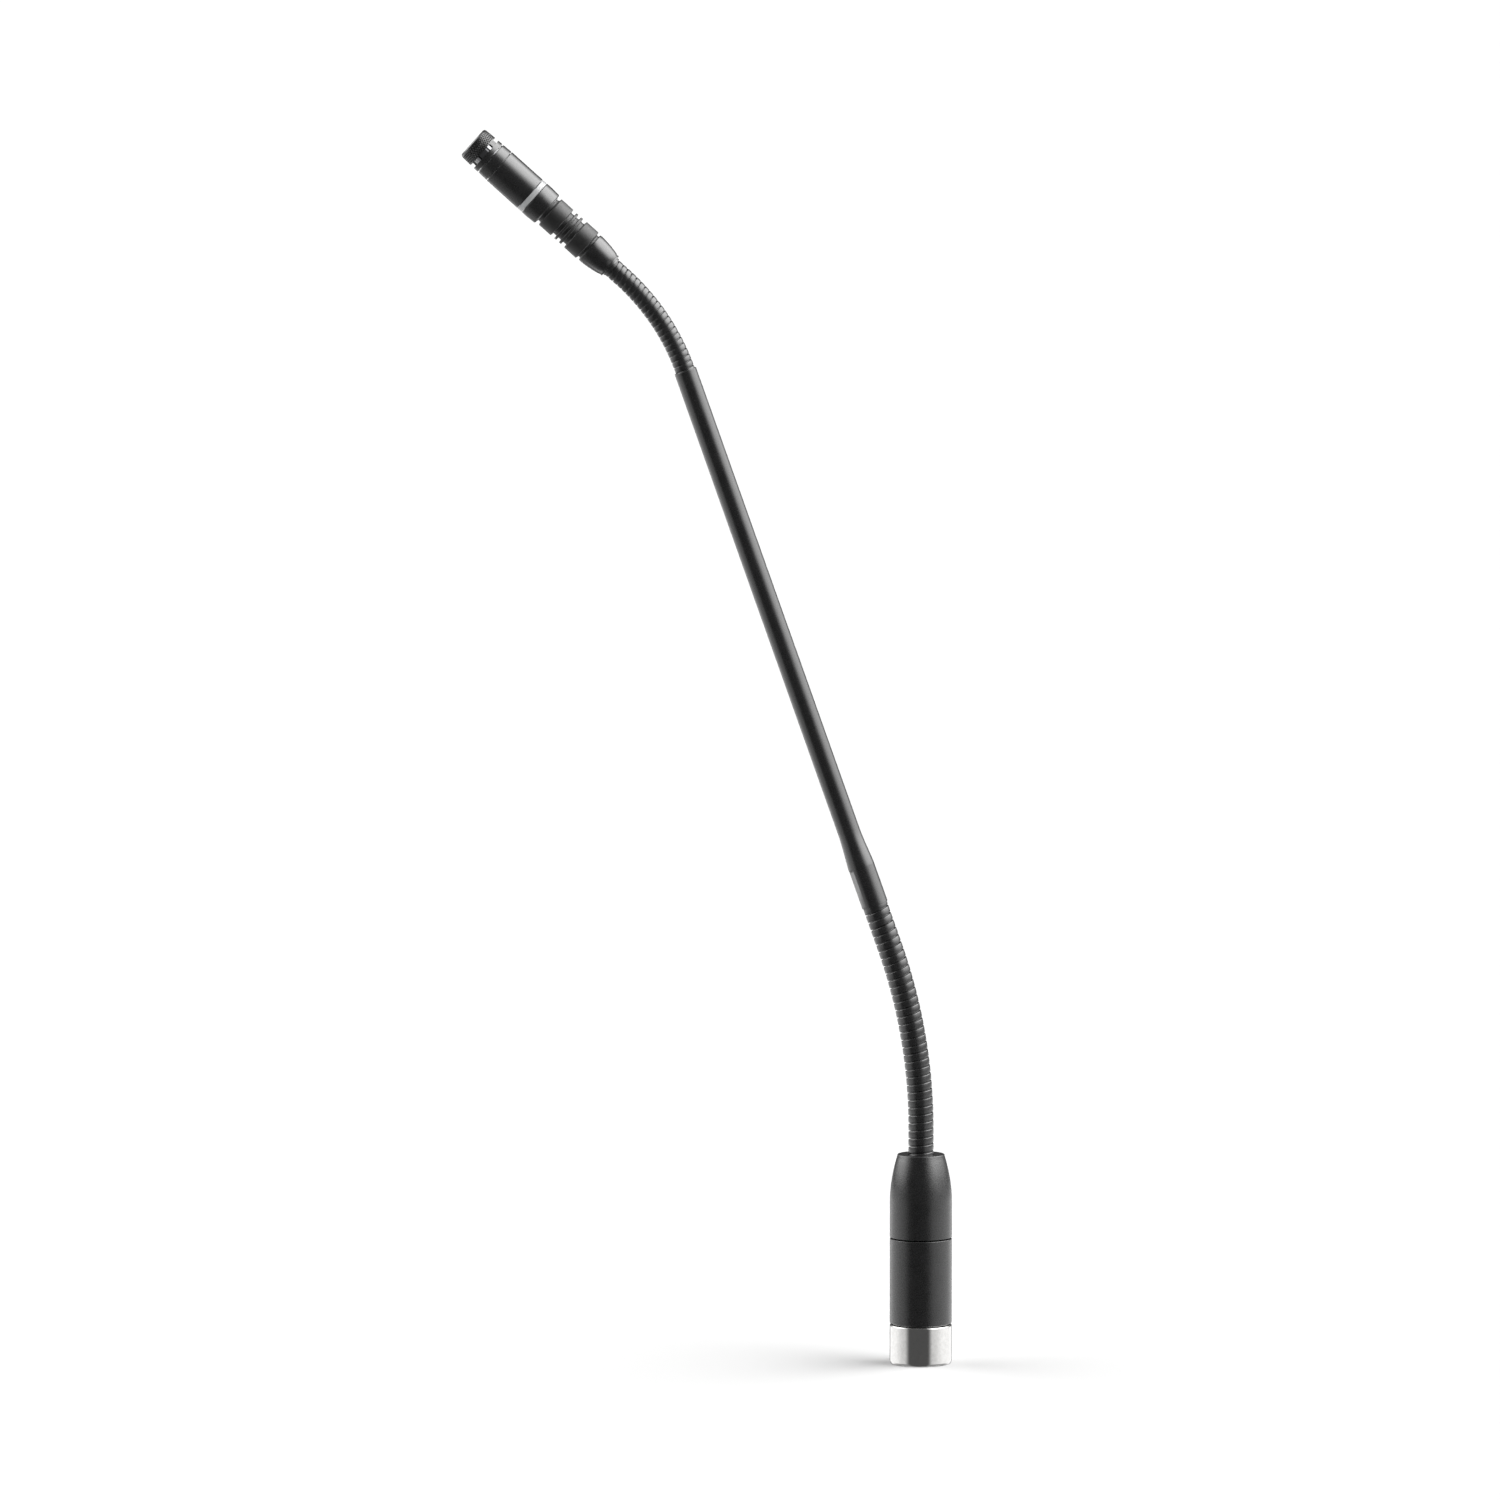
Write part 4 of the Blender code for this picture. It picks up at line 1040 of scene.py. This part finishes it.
def finish_cad_nodes():
    """CAD nodes that still show keep their shape and take a finish."""
    subparts = frame["record"].get("subparts", [])
    slot_of = {part["node"]: part["material_slot"] for part in subparts}
    for name, node in frame["nodes"].items():
        if node.hide_render:
            continue
        finish = material(slot_of.get(name, "steel"), cad=True)
        if not node.material_slots:
            node.data.materials.append(finish)
        for holder in node.material_slots:
            holder.material = finish


plug()
lower_housing()
upper_housing()
anchor_bush()
rigid_tube()
gooseneck("lower", 0.0, LOWER_L, LOWER_HINGES, "base", "tube", reach=(3.0, 3.4), coil=LOWER_COIL)
gooseneck("upper", UPPER_S, UPPER_L, UPPER_HINGES, "tube", "ferrule", reach=(3.2, 2.6),
          coil=UPPER_COIL)
ferrule()
isolator()
barrels()
capsule()
front_cap()
face_plate()
finish_cad_nodes()

# ------------------------------------------------------------------ floor, light and camera


def floor():
    """A very large matt sheet, in metres, divided more finely near the middle."""
    tone = 0.47
    half = [0.2, 0.6, 2.0, 8.0, 30.0, 120.0]
    steps = [-v for v in half[::-1]] + [0.0] + half
    count = len(steps)
    verts = [(x, y, FLOOR_Z - 1e-5) for y in steps for x in steps]
    corners = [row * count + k for row in range(count - 1) for k in range(count - 1)]
    mesh = bpy.data.meshes.new("floor")
    mesh.from_pydata(verts, [], [(v, v + 1, v + count + 1, v + count) for v in corners])
    made = bpy.data.materials.new("floor_pale")
    t = Tree(made)
    shader = t.surface()
    where = t.new("ShaderNodeTexCoord").outputs["Object"]
    grain = t.noise(where, scale=220.0, detail=3.0, rough=0.6)
    t.put_all(shader, {
        "Base Color": t.blend(grain, (tone,) * 3, (tone * 1.01,) * 3),
        "Roughness": t.span(grain, (0.3, 0.7), to=(0.85, 0.95)),
        "Specular IOR Level": 0.0,
    })
    mesh.materials.append(made)
    obj = add_object("floor", mesh)
    obj.visible_glossy = False


def studio():
    """Soft boxes painted on the world: a strong one at the right and a weaker one at the left.

    Azimuth is 0 towards the camera (-Y) and 90 at the right (+X); angles are in degrees."""
    ambient, right_power, left_power, top_power = 0.12, 6.6, 4.0, 1.5
    low_ambient, bounce_power = 0.11, 1.5  # below the horizon
    seen_by_camera = 0.96
    world = bpy.data.worlds.new("studio")
    bpy.context.scene.world = world
    t = Tree(world)
    out = t.new("ShaderNodeOutputWorld")
    x, y, z = t.split(t.new("ShaderNodeTexCoord").outputs["Generated"])
    azimuth = t.times(t.math("ARCTAN2", x, t.times(y, -1.0)), 180 / math.pi)
    elevation = t.times(t.math("ARCSINE", z), 180 / math.pi)

    def ramp(value, *source, to=(0.0, 1.0)):
        return t.span(value, source, to, smooth=True)

    def window(value, rise_from, rise_to, fall_from, fall_to):
        return t.times(ramp(value, rise_from, rise_to),
                       ramp(value, fall_from, fall_to, to=(1.0, 0.0)))

    def sideways(first, middle, last):
        """Rises to 0.62 by the middle azimuth and to 1 by the last."""
        return t.add(ramp(azimuth, first, middle, to=(0.0, 0.62)),
                     ramp(azimuth, middle, last, to=(0.0, 0.38)))

    # above the horizon: the two side boxes and a faint one overhead
    right = t.times(window(azimuth, 20.0, 66.0, 112.0, 158.0),
                    window(elevation, -3.0, 30.0, 60.0, 76.0))
    left = t.times(window(t.times(azimuth, -1.0), 46.0, 92.0, 118.0, 158.0),
                   window(elevation, 0.0, 14.0, 54.0, 70.0))
    top = ramp(elevation, 58.0, 80.0)
    sky = t.add(ambient, t.times(right, right_power), t.times(left, left_power),
                t.times(top, top_power))

    # below it: light at the sides, dimmed straight behind, and a bounce from the back
    at_side = t.math("MAXIMUM", sideways(26.0, 46.0, 96.0), sideways(-42.0, -66.0, -112.0))
    behind = ramp(t.math("ABSOLUTE", azimuth), 150.0, 168.0)
    near_horizon = ramp(elevation, -38.0, -22.0, to=(0.40, 1.42))
    below = t.add(low_ambient, t.times(at_side, near_horizon))
    below = t.times(below, t.minus(1.0, t.times(behind, 0.9)))
    from_back = ramp(t.math("ABSOLUTE", azimuth), 104.0, 132.0)
    bounce = t.times(from_back, window(elevation, -76.0, -68.0, -54.0, -46.0))
    below = t.add(below, t.times(bounce, bounce_power))

    low = ramp(elevation, -1.0, -7.0)
    light = t.add(t.times(sky, t.minus(1.0, low)), t.times(below, low))

    # the camera itself sees a plain pale background
    mixed = t.new("ShaderNodeMixShader")
    t.put(mixed.inputs[0], t.new("ShaderNodeLightPath").outputs["Is Camera Ray"])
    for socket, strength in zip(mixed.inputs[1:], (light, seen_by_camera)):
        shader = t.new("ShaderNodeBackground")
        t.put_all(shader, {"Color": (1.0, 1.0, 1.0, 1.0), "Strength": strength})
        t.put(socket, shader.outputs[0])
    t.put(out.inputs["Surface"], mixed.outputs[0])


def camera():
    """A long lens in front (-Y), looking slightly down; places in metres."""
    target, distance = Vector((-0.0524, 0.0, 0.17645)), 3.2
    pitch = math.radians(5.4)
    lens = bpy.data.cameras.new("camera")
    lens.lens = 251.5
    lens.sensor_width = 36.0
    lens.clip_start, lens.clip_end = 0.05, 400.0
    obj = add_object("camera", lens)
    obj.location = target + Vector((0.0, -math.cos(pitch), math.sin(pitch))) * distance
    obj.rotation_euler = (math.pi / 2 - pitch, 0.0, 0.0)
    bpy.context.scene.camera = obj


floor()
studio()
bpy.context.scene.view_settings.view_transform = "Standard"
camera()

bpy.context.view_layer.update()
